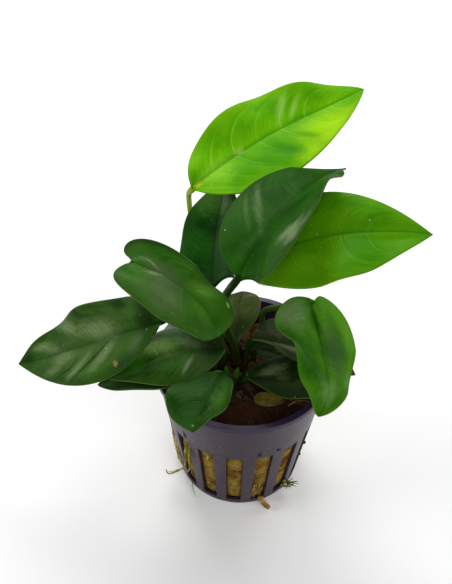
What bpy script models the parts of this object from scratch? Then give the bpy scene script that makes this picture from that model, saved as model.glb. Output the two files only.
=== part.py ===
"""A small anubias in a slotted plastic net pot, filled with rock wool.

Metres, +Z up. The origin is the middle of the pot's underside; -Y is the front.
Every leaf is a blade on its own stalk, and every stalk grows from one creeping rhizome.
"""
import math

import bmesh
import bpy
from mathutils import Matrix, Vector

MM = 0.001

# Driving dimensions, in millimetres
GAP = 0.3                  # clearance kept between touching pieces
POT_HEIGHT = 45.0
RIM_RADIUS = 25.0
RIM_DEPTH = 2.2            # height of the thicker band round the mouth
RIM_OVERHANG = 0.6         # how far that band stands out from the wall
BASE_RADIUS = 18.1
WALL = 1.2
FLOOR = 1.2
SLOT_COUNT = 16
SLOT_SHARE = 4 / 7         # slot width as a share of the slot pitch
SLOT_BOTTOM = 1.8
SLOT_TOP = 27.4
SLOT_TURN = -4.3           # degrees from the front to the first slot's middle
FLOOR_SLOT_INNER = 7.0
FLOOR_SLOT_OUTER = 14.5
WOOL_EDGE_HEIGHT = 34.0
WOOL_CROWN_HEIGHT = 39.2
RHIZOME_RADIUS = 3.4
TIP_CALM = 0.22                      # share of the blade over which its ruffles die down to the tip
BLADE_THICKNESS = 0.8
STALK_RADIUS = 0.75
STALK_END_GAP = 1.3        # stalk end to the blade's base point
FULL_TURN = 2 * math.pi

# Leaf shape where a leaf does not say otherwise: angles in degrees, lengths in millimetres
PLAIN_LEAF = {
    "length": 40.0, "left": 11.0, "right": 11.0,           # midrib length, half widths
    "heading": 0.0, "rise": 0.0, "roll": 0.0,              # which way the blade points at its base
    "droop": 20.0, "swing": 0.0, "curl": 0.0,              # bend down, bend sideways, extra bend at the tip
    "fold": 14.0, "twist": 0.0, "camber": 0.1,             # V fold, twist along the blade, arching halves
    "base_left": 0.6, "tip_left": 0.85,                    # how blunt each end is, per side
    "base_right": 0.6, "tip_right": 0.85,
    "lobe_left": 0.04, "lobe_right": 0.04,                 # how far the heart-shaped base runs back
    "ruffle_left": 0.0, "ruffle_right": 0.0,               # height of the wavy margin, per side
    "ruffle_start_left": 0.0, "ruffle_start_right": 0.0,
    "ruffles": 2.0,
}

# Each leaf: base point, its own shape, where its stalk leaves the rhizome and what it passes
LEAVES = {
    "leaf_top": {
        "base": (-15, 27, 83), "length": 58.5, "left": 13, "right": 16,
        "heading": 44, "rise": 16, "roll": 13, "droop": 2, "swing": -24, "curl": -20, "twist": -4,
        "base_left": 0.75, "lobe_right": 0,
        "ruffle_left": 1.2, "ruffle_start_left": 90, "ruffles": 2.75,
        "root": (0.99, 178), "bow": [(-12, 14, 50), (-14.5, 29, 58), (-16.2, 36.5, 67), (-16.4, 34, 75.5)],
    },
    "leaf_dark_upright": {
        "base": (-2.5, -16, 91), "length": 50.5, "left": 14.3, "right": 13.7,
        "heading": 64, "rise": 24, "roll": -25, "droop": 48, "swing": 3, "curl": -2,
        "fold": 26, "twist": -1, "camber": 0.19,
        "base_left": 0.9, "tip_left": 0.8, "tip_right": 0.85, "lobe_left": 0, "lobe_right": 0.1,
        "ruffle_right": 1.35, "ruffle_start_right": 313,
        "ruffles": 2.46,
        "root": (0.5, 95), "bow": [(-3, -4.4, 55), (-6.3, -5.5, 70)],
    },
    "leaf_right": {
        "base": (1, -0.5, 82), "length": 46.5, "left": 13.5, "right": 14.5,
        "heading": -10, "rise": 43, "roll": 7, "droop": 36, "swing": -12,
        "fold": 16, "twist": 20, "camber": 0.2,
        "base_left": 0.45, "tip_left": 1.05, "base_right": 0.75, "tip_right": 1.0, "lobe_right": 0.08,
        "ruffle_right": 0.8, "ruffle_start_right": 190, "ruffles": 3.0,
        "root": (0.62, 90), "bow": [(-3, -2.2, 54.5), (-6.5, -0.8, 67)],
    },
    "leaf_upper_left": {
        "base": (-9, 2.5, 70), "length": 42.5, "left": 11.5, "right": 12,
        "heading": 91, "rise": 16, "roll": -48, "droop": 16, "swing": -4, "curl": -5, "camber": -0.05,
        "tip_left": 0.9, "base_right": 0.4, "tip_right": 1.25, "lobe_right": 0.12,
        "ruffle_left": 0.6, "ruffle_start_left": 310, "ruffle_right": 1.4, "ruffle_start_right": 210,
        "ruffles": 2.25,
        "root": (1.0, 135), "bow": [(-9.2, 9, 54), (-9.6, 4, 62)],
    },
    "leaf_heart": {
        "base": (-28, -8.5, 88), "length": 30, "left": 7, "right": 13,
        "heading": -25, "rise": 4, "roll": -5, "droop": 46, "swing": -10, "curl": 65,
        "fold": 28, "twist": 12, "camber": 0.35,
        "tip_left": 0.6, "tip_right": 0.75, "lobe_left": 0.34, "lobe_right": 0.16,
        "ruffle_left": 2.0, "ruffle_start_left": 200,
        "root": (0.9, 152), "bow": [(-10.6, 5.2, 55.5), (-18, 1, 70), (-24, -5.5, 79)],
    },
    "leaf_left": {
        "base": (-22, -3, 62), "length": 48, "left": 11.5, "right": 11.5,
        "heading": 181, "rise": -25, "roll": -28, "droop": 18, "swing": -6, "curl": -20, "camber": 0.2,
        "base_left": 0.8, "tip_left": 1.0, "lobe_left": 0, "ruffle_right": 1.6, "ruffles": 2.5,
        "root": (0.74, 168), "bow": [(-10, 5.4, 51.3), (-16.5, 5.4, 59.2)],
    },
    "leaf_lower_left": {
        "base": (-5, -5, 54), "length": 33, "left": 10.5, "right": 11,
        "heading": 178, "rise": 3, "roll": 7, "droop": 44, "swing": 18, "curl": -30,
        "fold": 8, "camber": 0.3, "tip_left": 1.0,
        "ruffle_left": 0.8, "ruffle_start_left": 50, "ruffles": 1.25,
        "root": (0.45, 150), "bow": [(-5.5, -5.1, 49.5)],
    },
    "leaf_under_left": {
        "base": (-10.5, -5.5, 48), "length": 30, "left": 7.5, "right": 8,
        "heading": 187, "rise": -4, "roll": 4, "droop": 14, "swing": -2,
        "fold": 12, "camber": 0.05, "ruffle_left": 0.4,
        "root": (0.34, 168), "bow": [(-8, -5.4, 46)],
    },
    "leaf_front": {
        "base": (-5.5, -16.5, 57.5), "length": 19.5, "left": 6.5, "right": 10.5,
        "heading": 242, "rise": 4, "roll": 20, "droop": 16, "swing": 10,
        "fold": 6, "twist": -6, "camber": 0.05,
        "base_right": 0.75, "tip_right": 0.75, "lobe_left": 0,
        "ruffle_left": 0.8, "ruffle_start_left": 270, "ruffle_right": 1.4, "ruffle_start_right": 130,
        "ruffles": 1.75,
        "root": (0.12, 100), "bow": [(-2.8, -13.6, 52)],
    },
    "leaf_big_right": {
        "base": (16.5, -5, 72), "length": 32.5, "left": 8, "right": 14,
        "heading": -77, "rise": -24, "roll": -26, "droop": -30, "swing": -30, "curl": 85,
        "fold": 26, "twist": 12, "camber": 0.25,
        "base_left": 0.95, "tip_left": 1.1, "base_right": 0.3, "tip_right": 0.75,
        "lobe_left": 0.26, "lobe_right": 0.08,
        "ruffle_left": 2.2, "ruffle_start_left": 160, "ruffle_right": 2.4, "ruffle_start_right": 70,
        "root": (0.66, 60), "bow": [(4.8, 2.8, 53), (4.6, 4.6, 60), (9, 0.5, 67.5)],
    },
    "leaf_olive": {
        "base": (-2, -0.5, 52), "length": 19, "left": 6.5, "right": 6.5,
        "heading": 90, "rise": 19, "roll": -8, "droop": 32, "swing": -6, "fold": 16, "camber": 0,
        "base_right": 0.8, "tip_right": 0.65, "lobe_right": 0,
        "root": (0.72, 85), "bow": [(-1.7, -0.7, 50.4)],
    },
    "leaf_tucked": {
        "base": (2, -2.5, 56), "length": 30, "left": 9, "right": 6,
        "heading": -7, "rise": -1, "roll": -10, "droop": 28, "swing": -4, "fold": 18, "camber": 0,
        "lobe_right": 0, "ruffle_right": 1.4, "ruffles": 1.75,
        "root": (0.48, 60), "bow": [(0.8, -3.6, 51)],
    },
    "leaf_front_right": {
        "base": (1, -11, 50), "length": 26.5, "left": 7.5, "right": 8,
        "heading": 2, "rise": 14, "roll": -7, "droop": 32, "swing": -18, "fold": 10, "camber": 0.2,
        "base_right": 0.75, "lobe_right": 0,
        "ruffle_left": 0.6, "ruffle_start_left": 120, "ruffle_right": 0.4,
        "root": (0.2, 62), "bow": [(-0.6, -10.4, 47)],
    },
    "leaf_inner": {
        "base": (3.5, 2, 47.0), "length": 15, "left": 4.5, "right": 4.5,
        "heading": -22, "rise": 8, "roll": -8, "droop": 20,
        "root": (0.62, 5), "bow": [(3, 0.8, 45.4)],
    },
}

OLD_LEAF = {
    "base": (3.2, -10.3, 40.0), "length": 8.5, "left": 2.2, "right": 2.4,
    "heading": -4, "rise": 6, "roll": 6, "droop": 18, "fold": 12,
}
DRY_SHEATH = {
    "base": (-0.8, 4.4, 52.2), "length": 6.0, "left": 0.9, "right": 0.9,
    "heading": 40, "rise": 28, "roll": 30, "droop": 16, "fold": 26,
}

# The rhizome's middle line, front to back, and the thin roots that come out of the wool
RHIZOME_LINE = [
    (-2.6, -12.5, 40.6), (-2.4, -8.0, 42.0), (-2.0, -3.0, 43.4), (-1.6, 2.0, 45.0), (-1.2, 6.6, 46.8),
]
RHIZOME_SWELL = [0.62, 0.95, 1.0, 0.98, 0.66]
ROOTS = {
    "root_left_slot": (0.5, [
        (-15.3, -14.9, 25.8), (-15.6, -16.0, 22.0), (-15.5, -15.6, 17.5), (-16.4, -13.9, 12.0),
        (-18.0, -12.2, 7.0), (-19.9, -11.4, 4.0), (-21.2, -11.0, 3.2), (-22.0, -10.6, 5.0),
    ]),
    "root_left_tuft": (0.8, [
        (-20.2, -6.6, 20.0), (-19.9, -6.7, 14.0), (-19.6, -7.0, 8.0), (-19.0, -7.4, 4.2),
    ]),
    "root_front": (0.7, [
        (5.6, -19.4, 11.5), (6.9, -19.6, 6.5), (8.2, -19.6, 3.0), (9.4, -19.9, 1.8),
    ]),
    "root_right": (0.4, [
        (13.4, -13.6, 6.5), (14.9, -14.3, 4.6), (16.6, -14.2, 3.8), (18.2, -12.8, 4.2),
    ]),
}
BUDS = {
    "bud_left": ((-4.7, -7.4, 46.6), 1.0, 3.6, -10),
    "bud_right": ((-1.9, -8.0, 46.4), 1.1, 3.9, 8),
}

COLOURS = {
    "pot_plastic": ((0.030, 0.022, 0.040), 0.38),
    "wool": ((0.180, 0.095, 0.030), 0.95),
    "rhizome_bark": ((0.090, 0.042, 0.018), 0.75),
    "leaf_bright": ((0.090, 0.260, 0.010), 0.35),
    "leaf_dark": ((0.018, 0.080, 0.010), 0.30),
    "leaf_olive": ((0.050, 0.070, 0.018), 0.45),
    "leaf_old": ((0.180, 0.120, 0.030), 0.65),
    "stalk": ((0.070, 0.140, 0.015), 0.45),
    "root": ((0.220, 0.170, 0.060), 0.80),
    "dry": ((0.260, 0.110, 0.030), 0.70),
}
BRIGHT_LEAVES = ("leaf_top", "leaf_right")


def clear_scene():
    for item in list(bpy.data.objects):
        bpy.data.objects.remove(item, do_unlink=True)
    for group in list(bpy.data.collections):
        bpy.data.collections.remove(group)


def make_collection(name):
    group = bpy.data.collections.new(name)
    bpy.context.scene.collection.children.link(group)
    return group


def material(name):
    """The named finish, made once: a Principled BSDF with its colour and roughness."""
    if name in bpy.data.materials:
        return bpy.data.materials[name]
    colour, roughness = COLOURS[name]
    finish = bpy.data.materials.new(name)
    finish.use_nodes = True
    shader = finish.node_tree.nodes["Principled BSDF"]
    shader.inputs["Base Color"].default_value = (*colour, 1)
    shader.inputs["Roughness"].default_value = roughness
    shader.inputs["Metallic"].default_value = 0
    finish.diffuse_color = (*colour, 1)
    return finish


def add_object(name, data, group, finish):
    item = bpy.data.objects.new(name, data)
    group.objects.link(item)
    item.data.materials.append(material(finish))
    return item


def mesh_from_bmesh(name, shape):
    """Turn millimetres into metres, and close the bmesh into a mesh."""
    bmesh.ops.scale(shape, vec=(MM, MM, MM), verts=shape.verts)
    mesh = bpy.data.meshes.new(name)
    shape.to_mesh(mesh)
    shape.free()
    return mesh


# ---- pot ----

def wall_radius(height):
    """Outside radius of the tapering wall, under the rim band."""
    share = height / POT_HEIGHT
    return BASE_RADIUS + (RIM_RADIUS - RIM_OVERHANG - BASE_RADIUS) * share


def turned_object(name, profile, group, finish, steps):
    """Spin an (radius, height) profile, given top to bottom down its outer side, about Z."""
    mesh = bpy.data.meshes.new(name)
    points = [(radius * MM, 0, height * MM) for radius, height in profile]
    edges = [(i, i + 1) for i in range(len(points) - 1)]
    mesh.from_pydata(points, edges, [])
    item = add_object(name, mesh, group, finish)
    screw = item.modifiers.new("Turn", "SCREW")
    screw.axis = "Z"
    screw.steps = steps
    screw.render_steps = steps
    screw.use_merge_vertices = True
    screw.merge_threshold = 0.00001
    return item


def pot_profile():
    lip_under = POT_HEIGHT - RIM_DEPTH
    return [
        (0, FLOOR),
        (wall_radius(FLOOR) - WALL, FLOOR),
        (wall_radius(lip_under) - WALL, lip_under),
        (RIM_RADIUS - RIM_OVERHANG - WALL, POT_HEIGHT),
        (RIM_RADIUS, POT_HEIGHT),
        (RIM_RADIUS, lip_under + RIM_OVERHANG / 2),
        (wall_radius(lip_under), lip_under),
        (BASE_RADIUS, 0),
        (0, 0),
    ]


def wall_slot_cutter(group, index):
    """A wedge through the wall that narrows downwards with the pot's own taper."""
    shape = bmesh.new()
    bmesh.ops.create_cube(shape, size=1.0)
    angle = math.radians(SLOT_TURN) + index * FULL_TURN / SLOT_COUNT
    for vert in shape.verts:
        height = SLOT_TOP if vert.co.z > 0 else SLOT_BOTTOM
        radius = wall_radius(height)
        width = SLOT_SHARE * FULL_TURN * radius / SLOT_COUNT
        reach = radius + 2 if vert.co.y < 0 else radius - WALL - 2
        vert.co = Vector((vert.co.x * width, -reach, height))
    bmesh.ops.rotate(shape, verts=shape.verts, matrix=Matrix.Rotation(angle, 3, "Z"))
    name = f"wall_slot_{index + 1:02d}"
    cutter = add_object(name, mesh_from_bmesh(name, shape), group, "pot_plastic")
    hide_guide(cutter)
    return cutter


def floor_slot_cutter(group, index):
    """A wedge through the floor, in line with the wall slot above it."""
    shape = bmesh.new()
    bmesh.ops.create_cube(shape, size=1.0)
    angle = math.radians(SLOT_TURN) + index * FULL_TURN / SLOT_COUNT
    for vert in shape.verts:
        radius = FLOOR_SLOT_OUTER if vert.co.y < 0 else FLOOR_SLOT_INNER
        width = SLOT_SHARE * FULL_TURN * radius / SLOT_COUNT
        vert.co = Vector((vert.co.x * width, -radius, vert.co.z * 4 * FLOOR))
    bmesh.ops.rotate(shape, verts=shape.verts, matrix=Matrix.Rotation(angle, 3, "Z"))
    name = f"floor_slot_{index + 1:02d}"
    cutter = add_object(name, mesh_from_bmesh(name, shape), group, "pot_plastic")
    hide_guide(cutter)
    return cutter


def hide_guide(item):
    item.hide_render = True
    item.display_type = "WIRE"


def build_pot(group, cutters):
    pot = turned_object("net_pot", pot_profile(), group, "pot_plastic", 64)
    for index in range(SLOT_COUNT):
        cut(pot, wall_slot_cutter(cutters, index))
        cut(pot, floor_slot_cutter(cutters, index))
    return pot


def cut(item, cutter):
    boolean = item.modifiers.new(cutter.name, "BOOLEAN")
    boolean.operation = "DIFFERENCE"
    boolean.solver = "EXACT"
    boolean.object = cutter


def build_wool(group):
    """The plug of rock wool fills the pot and is a little higher in the middle."""
    side_gap = WALL + GAP
    bottom = FLOOR + GAP
    profile = [(0, WOOL_CROWN_HEIGHT)]
    edge_radius = wall_radius(WOOL_EDGE_HEIGHT) - side_gap
    for step in (0.35, 0.7):
        drop = (WOOL_CROWN_HEIGHT - WOOL_EDGE_HEIGHT) * step ** 2
        profile.append((edge_radius * step, WOOL_CROWN_HEIGHT - drop))
    profile.append((edge_radius, WOOL_EDGE_HEIGHT))
    profile.append((wall_radius(bottom) - side_gap, bottom))
    profile.append((0, bottom))
    return turned_object("rock_wool", profile, group, "wool", 40)


# ---- plant ----

def tube_object(name, points, radius, group, finish, swell=None):
    """A closed tube of one radius, or of a radius that swells along the line."""
    curve = bpy.data.curves.new(name, "CURVE")
    curve.dimensions = "3D"
    curve.bevel_depth = radius * MM
    curve.bevel_resolution = 2
    curve.use_fill_caps = True
    spline = curve.splines.new("POLY")
    spline.points.add(len(points) - 1)
    for index, point in enumerate(points):
        spline.points[index].co = (*(Vector(point) * MM), 1)
        spline.points[index].radius = swell[index] if swell else 1
    return add_object(name, curve, group, finish)


def smooth_line(points, count):
    """Points of a smooth curve through the given ones (Catmull-Rom)."""
    ends = [Vector(points[0]) * 2 - Vector(points[1])]
    ends += [Vector(point) for point in points]
    ends.append(Vector(points[-1]) * 2 - Vector(points[-2]))
    result = []
    spans = len(points) - 1
    for index in range(count):
        place = index / (count - 1) * spans
        span = min(int(place), spans - 1)
        t = place - span
        a, b, c, d = ends[span:span + 4]
        result.append(0.5 * (2 * b + (c - a) * t + (2 * a - 5 * b + 4 * c - d) * t ** 2
                             + (3 * b - a - 3 * c + d) * t ** 3))
    return result


def rhizome_point(share):
    place = share * (len(RHIZOME_LINE) - 1)
    span = min(int(place), len(RHIZOME_LINE) - 2)
    return Vector(RHIZOME_LINE[span]).lerp(Vector(RHIZOME_LINE[span + 1]), place - span)


def rhizome_direction():
    return (Vector(RHIZOME_LINE[-1]) - Vector(RHIZOME_LINE[0])).normalized()


def leaf_direction(leaf, share):
    """Forward, side and upward directions of the blade at a share of its length."""
    late = max(share - 0.6, 0) / 0.4
    pitch = math.radians(leaf["droop"] * share + leaf["curl"] * late ** 2)
    swing = math.radians(leaf["swing"] * share)
    level = math.cos(pitch)
    forward = Vector((level * math.cos(swing), level * math.sin(swing), -math.sin(pitch)))
    side = Vector((-math.sin(swing), math.cos(swing), 0))
    return forward, side, forward.cross(side)


def midrib_point(leaf, share):
    """Distance along the bending midrib, added up in short steps."""
    steps = 16
    point = Vector((0, 0, 0))
    for step in range(steps):
        forward = leaf_direction(leaf, share * (step + 0.5) / steps)[0]
        point += forward * (leaf["length"] * share / steps)
    return point


def leaf_outline(leaf, share, side):
    """Half width at a share of the length: 0 at both ends, the leaf's own half width at its widest."""
    blunt_base = leaf["base_" + side]
    blunt_tip = leaf["tip_" + side]
    widest = blunt_base / (blunt_base + blunt_tip)
    peak = widest ** blunt_base * (1 - widest) ** blunt_tip
    return leaf[side] * share ** blunt_base * (1 - share) ** blunt_tip / peak


def leaf_turn(leaf):
    heading = Matrix.Rotation(math.radians(leaf["heading"]), 3, "Z")
    rise = Matrix.Rotation(math.radians(-leaf["rise"]), 3, "Y")
    roll = Matrix.Rotation(math.radians(leaf["roll"]), 3, "X")
    return heading @ rise @ roll


def leaf_point(leaf, along, across):
    """Place on the blade: along runs from stalk to tip, across from -1 (right margin) to 1 (left)."""
    side = "left" if across >= 0 else "right"
    out = abs(across)
    flat = out * leaf_outline(leaf, along, side)
    back = leaf["lobe_" + side] * math.sin(math.pi * min(along / 0.45, 1))
    share = along - back * out ** 1.5
    wave = math.sin(FULL_TURN * leaf["ruffles"] * along + math.radians(leaf["ruffle_start_" + side]))
    fold = math.radians(leaf["fold"])
    half_width = max(leaf["left"], leaf["right"])
    lift = flat * math.sin(fold) - leaf["camber"] * flat ** 2 / half_width
    lift += leaf["ruffle_" + side] * out ** 2 * wave * min(1, 0.2 + (1 - along) / TIP_CALM)
    sideways = math.copysign(flat * math.cos(fold), across)
    twist = math.radians(leaf["twist"] * share)
    sideways, lift = (sideways * math.cos(twist) - lift * math.sin(twist),
                      sideways * math.sin(twist) + lift * math.cos(twist))
    forward, across_way, up = leaf_direction(leaf, share)
    local = midrib_point(leaf, share) + across_way * sideways + up * lift
    return Vector(leaf["base"]) + leaf_turn(leaf) @ local


def blade_object(name, leaf, group, finish, rows, columns, thickness):
    """A grid laid over the leaf's surface and given its thickness."""
    shape = bmesh.new()
    bmesh.ops.create_grid(shape, x_segments=rows, y_segments=columns, size=1.0)
    for vert in shape.verts:
        along = ((vert.co.x + 1) / 2) ** 1.25
        across = max(-1.0, min(1.0, vert.co.y))
        vert.co = leaf_point(leaf, min(along, 1.0), across)
    bmesh.ops.remove_doubles(shape, verts=shape.verts, dist=0.01)
    item = add_object(name, mesh_from_bmesh(name, shape), group, finish)
    solid = item.modifiers.new("Thickness", "SOLIDIFY")
    solid.thickness = thickness * MM
    solid.offset = 0
    return item


def full_leaf(values):
    return {**PLAIN_LEAF, **values}


def stalk_object(name, leaf, group):
    """The stalk leaves the rhizome sideways or upwards, and bows up to just under the blade."""
    share, angle = leaf["root"]
    along = rhizome_direction()
    sideways = Vector((1, 0, 0))
    upwards = sideways.cross(along)
    out = sideways * math.cos(math.radians(angle)) + upwards * math.sin(math.radians(angle))
    start = rhizome_point(share) + out * (RHIZOME_RADIUS + GAP + STALK_RADIUS)
    base = Vector(leaf["base"])
    arrive = (base - Vector(leaf["bow"][-1])).normalized()
    end = base - arrive * STALK_END_GAP
    count = max(5, min(12, round((end - start).length / 5)))
    route = smooth_line([start, *leaf["bow"], end], count)
    return tube_object(name, route, STALK_RADIUS, group, "stalk")


def build_leaves(group):
    for name, values in LEAVES.items():
        leaf = full_leaf(values)
        finish = "leaf_bright" if name in BRIGHT_LEAVES else "leaf_dark"
        if name == "leaf_olive":
            finish = "leaf_olive"
        blade_object(name + "_blade", leaf, group, finish, 11, 6, BLADE_THICKNESS)
        stalk_object(name + "_stalk", leaf, group)
    blade_object("old_leaf", full_leaf(OLD_LEAF), group, "leaf_old", 7, 4, 0.6)
    blade_object("dry_sheath", full_leaf(DRY_SHEATH), group, "dry", 5, 2, 0.6)


def build_rhizome(group):
    tube_object("rhizome", RHIZOME_LINE, RHIZOME_RADIUS, group, "rhizome_bark", RHIZOME_SWELL)
    for name, (place, radius, height, lean) in BUDS.items():
        shape = bmesh.new()
        bmesh.ops.create_cone(shape, cap_ends=True, segments=10,
                              radius1=radius, radius2=radius * 0.2, depth=height)
        leaning = Matrix.Rotation(math.radians(lean), 3, "Y")
        bmesh.ops.rotate(shape, verts=shape.verts, matrix=leaning)
        middle = Vector(place) + Vector((0, 0, height / 2))
        bmesh.ops.translate(shape, vec=middle, verts=shape.verts)
        add_object(name, mesh_from_bmesh(name, shape), group, "stalk")


def build_roots(group):
    for name, (radius, route) in ROOTS.items():
        tube_object(name, smooth_line(route, 2 * len(route)), radius, group, "root")


def build():
    clear_scene()
    parts = make_collection("potted_anubias")
    cutters = make_collection("cutters")
    build_pot(parts, cutters)
    build_wool(parts)
    build_rhizome(parts)
    build_leaves(parts)
    build_roots(parts)


build()
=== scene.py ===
"""The looks of a small anubias growing in a slotted net pot of rock wool.

Lengths are in millimetres until a mesh is finished. The origin is the middle of the pot's
underside, +Z is up and -Y is the front. The sections follow the plant as it is potted up.
"""

import math
import random

import bmesh
import bpy
import numpy as np
from mathutils import Matrix, Vector, noise


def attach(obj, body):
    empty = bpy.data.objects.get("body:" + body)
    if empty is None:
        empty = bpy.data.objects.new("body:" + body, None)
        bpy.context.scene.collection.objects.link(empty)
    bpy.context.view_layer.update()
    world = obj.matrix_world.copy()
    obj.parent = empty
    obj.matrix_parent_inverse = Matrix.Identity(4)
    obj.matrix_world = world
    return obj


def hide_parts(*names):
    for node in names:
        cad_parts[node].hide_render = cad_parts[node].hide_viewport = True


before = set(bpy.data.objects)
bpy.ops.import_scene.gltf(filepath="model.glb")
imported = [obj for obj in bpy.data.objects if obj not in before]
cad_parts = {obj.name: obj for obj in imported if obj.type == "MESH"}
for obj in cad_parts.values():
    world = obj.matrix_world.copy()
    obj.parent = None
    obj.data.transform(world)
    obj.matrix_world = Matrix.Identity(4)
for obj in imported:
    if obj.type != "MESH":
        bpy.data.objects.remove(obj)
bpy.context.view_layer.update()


# ---- Studio ----
# A pale sweep of floor, a soft sky, and big soft lamps behind, beside and in front of the plant.
# The camera looks down on it from the front, leaning a touch to one side.

def shade(red, green, blue):
    """A colour as a display shows it, from 0 to 255 a channel, in the renderer's linear values."""
    channels = [value / 255 for value in (red, green, blue)]
    return tuple(c / 12.92 if c <= 0.04045 else ((c + 0.055) / 1.055) ** 2.4 for c in channels)


def feed(tree, value, socket):
    """Link an output to a socket, or set the socket's own value."""
    if isinstance(value, bpy.types.NodeSocket):
        tree.links.new(value, socket)
    elif isinstance(value, tuple) and socket.type == "RGBA":
        socket.default_value = (*value, 1.0)
    else:
        socket.default_value = value


def add_node(tree, kind, inputs=None, **settings):
    """Add a node. Each input is a plain value, or the output socket that feeds it."""
    made = tree.nodes.new(kind)
    for key, value in settings.items():
        setattr(made, key, value)
    for key, value in (inputs or {}).items():
        feed(tree, value, made.inputs[key])
    return made


def new_material(name):
    """An empty material with a Principled BSDF in it: the material, its tree and its shader."""
    made = bpy.data.materials.new(name)
    made.use_nodes = True
    return made, made.node_tree, made.node_tree.nodes["Principled BSDF"]


def set_gloss(shader, roughness, specular):
    shader.inputs["Roughness"].default_value = roughness
    shader.inputs["Specular IOR Level"].default_value = specular


def place_lamp(name, azimuth, elevation, distance, size, watts):
    """A square softbox aimed at the plant; azimuth 0 is the front, 90 the right."""
    lamp = bpy.data.lights.new(name, "AREA")
    lamp.shape = "SQUARE"
    lamp.size = size
    lamp.energy = watts
    item = bpy.data.objects.new(name, lamp)
    turn, rise = math.radians(azimuth), math.radians(elevation)
    level = math.cos(rise)
    towards = Vector((math.sin(turn) * level, -math.cos(turn) * level, math.sin(rise)))
    item.location = LAMP_TARGET + towards * distance
    item.rotation_euler = (-towards).to_track_quat("-Z", "Y").to_euler()
    bpy.context.scene.collection.objects.link(item)


LAMP_TARGET = Vector((-0.005, 0.0, 0.06))
place_lamp("softbox_behind", -165, 42, 0.55, 0.34, 2.3)
place_lamp("softbox_left", -85, 26, 0.55, 0.26, 1.1)
place_lamp("softbox_back_right", 140, 50, 0.60, 0.26, 1.1)
place_lamp("softbox_right", 98, 10, 0.50, 0.16, 0.45)
place_lamp("softbox_front", 15, 48, 0.70, 0.40, 2.2)

FLOOR_SIZE = 6.0
floor_shape = bmesh.new()
bmesh.ops.create_grid(floor_shape, x_segments=1, y_segments=1, size=FLOOR_SIZE / 2)
floor_mesh = bpy.data.meshes.new("floor")
floor_shape.to_mesh(floor_mesh)
floor_shape.free()
floor = bpy.data.objects.new("floor", floor_mesh)
bpy.context.scene.collection.objects.link(floor)
floor_paint, _, floor_shader = new_material("white_paper")
floor_shader.inputs["Base Color"].default_value = (0.86, 0.86, 0.86, 1)
set_gloss(floor_shader, 0.9, 0.1)
floor_mesh.materials.append(floor_paint)

sky = bpy.data.worlds.new("soft_sky")
sky.use_nodes = True
sky.node_tree.nodes["Background"].inputs["Color"].default_value = (1, 1, 1, 1)
sky.node_tree.nodes["Background"].inputs["Strength"].default_value = 0.16
bpy.context.scene.world = sky
bpy.context.scene.view_settings.view_transform = "Standard"

CAMERA_TARGET = Vector((-0.0052, 0.0, 0.0707))
CAMERA_DISTANCE = 0.231
CAMERA_ELEVATION = 44.5
CAMERA_LEAN = 1.5
camera_lens = bpy.data.cameras.new("camera")
camera_lens.lens = 55
camera_lens.sensor_width = 36
camera_lens.clip_start = 0.01
camera = bpy.data.objects.new("camera", camera_lens)
bpy.context.scene.collection.objects.link(camera)
camera_rise = math.radians(CAMERA_ELEVATION)
towards_camera = Vector((0, -math.cos(camera_rise), math.sin(camera_rise)))
camera.location = CAMERA_TARGET + CAMERA_DISTANCE * towards_camera
tilt = Matrix.Rotation(math.radians(90 - CAMERA_ELEVATION), 4, "X")
lean = Matrix.Rotation(math.radians(CAMERA_LEAN), 4, "Z")
camera.rotation_euler = (tilt @ lean).to_euler()
bpy.context.scene.camera = camera


# ---- Net pot ----
# A tapering pot injection-moulded in dark violet plastic, with a thicker rim, sixteen slots
# down its wall that carry on as wedges in the floor, and short stacking notches above them.

MM = 0.001
FULL_TURN = 2 * math.pi
POT_HEIGHT = 45.0
RIM_RADIUS = 25.0
RIM_DEPTH = 2.2
RIM_OVERHANG = 0.6
BASE_RADIUS = 18.1
WALL = 1.2
SLOT_COUNT = 16
SLOT_BOTTOM = 1.8
SLOT_TOP = 27.4
SLOT_TURN = math.radians(-4.3)        # from the front to the first slot's middle
SLOT_STEPS = 4                        # spin steps across a slot
PITCH_STEPS = 7                       # spin steps from slot to slot
POT_STEPS = SLOT_COUNT * PITCH_STEPS
POT_STEP = FULL_TURN / POT_STEPS
FLOOR_SLOT_INNER = 7.0
FLOOR_SLOT_OUTER = 14.5
NOTCH_BOTTOM = 28.9
NOTCH_TOP = 31.6
NOTCH_COUNT = 6
NOTCH_TURN = math.radians(14.6)


def wall_radius(height):
    """Outside radius of the tapering wall, under the rim."""
    return BASE_RADIUS + (RIM_RADIUS - RIM_OVERHANG - BASE_RADIUS) * height / POT_HEIGHT


def around(radius, azimuth, height):
    """A point round the pot: azimuth 0 is the front, and it grows towards the right."""
    return Vector((radius * math.sin(azimuth), -radius * math.cos(azimuth), height))


def azimuth_of(point):
    return math.atan2(point.x, -point.y)


def slot_at(azimuth):
    """The number of the slot at this azimuth, or None behind a rib."""
    first_edge = SLOT_TURN - POT_STEP * SLOT_STEPS / 2
    steps = (azimuth - first_edge) % FULL_TURN / POT_STEP
    number, place = divmod(steps, PITCH_STEPS)
    return int(number) if place < SLOT_STEPS else None


def spin_profile(profile, azimuth, steps):
    """A closed shape turned about Z from (radius, height) points."""
    shape = bmesh.new()
    verts = [shape.verts.new(around(radius, azimuth, height)) for radius, height in profile]
    edges = [shape.edges.new(pair) for pair in zip(verts, verts[1:])]
    bmesh.ops.spin(shape, geom=verts + edges, cent=(0, 0, 0), axis=(0, 0, 1), angle=FULL_TURN,
                   steps=steps, use_merge=True)
    bmesh.ops.remove_doubles(shape, verts=shape.verts, dist=0.001)
    bmesh.ops.recalc_face_normals(shape, faces=shape.faces)
    return shape


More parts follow.
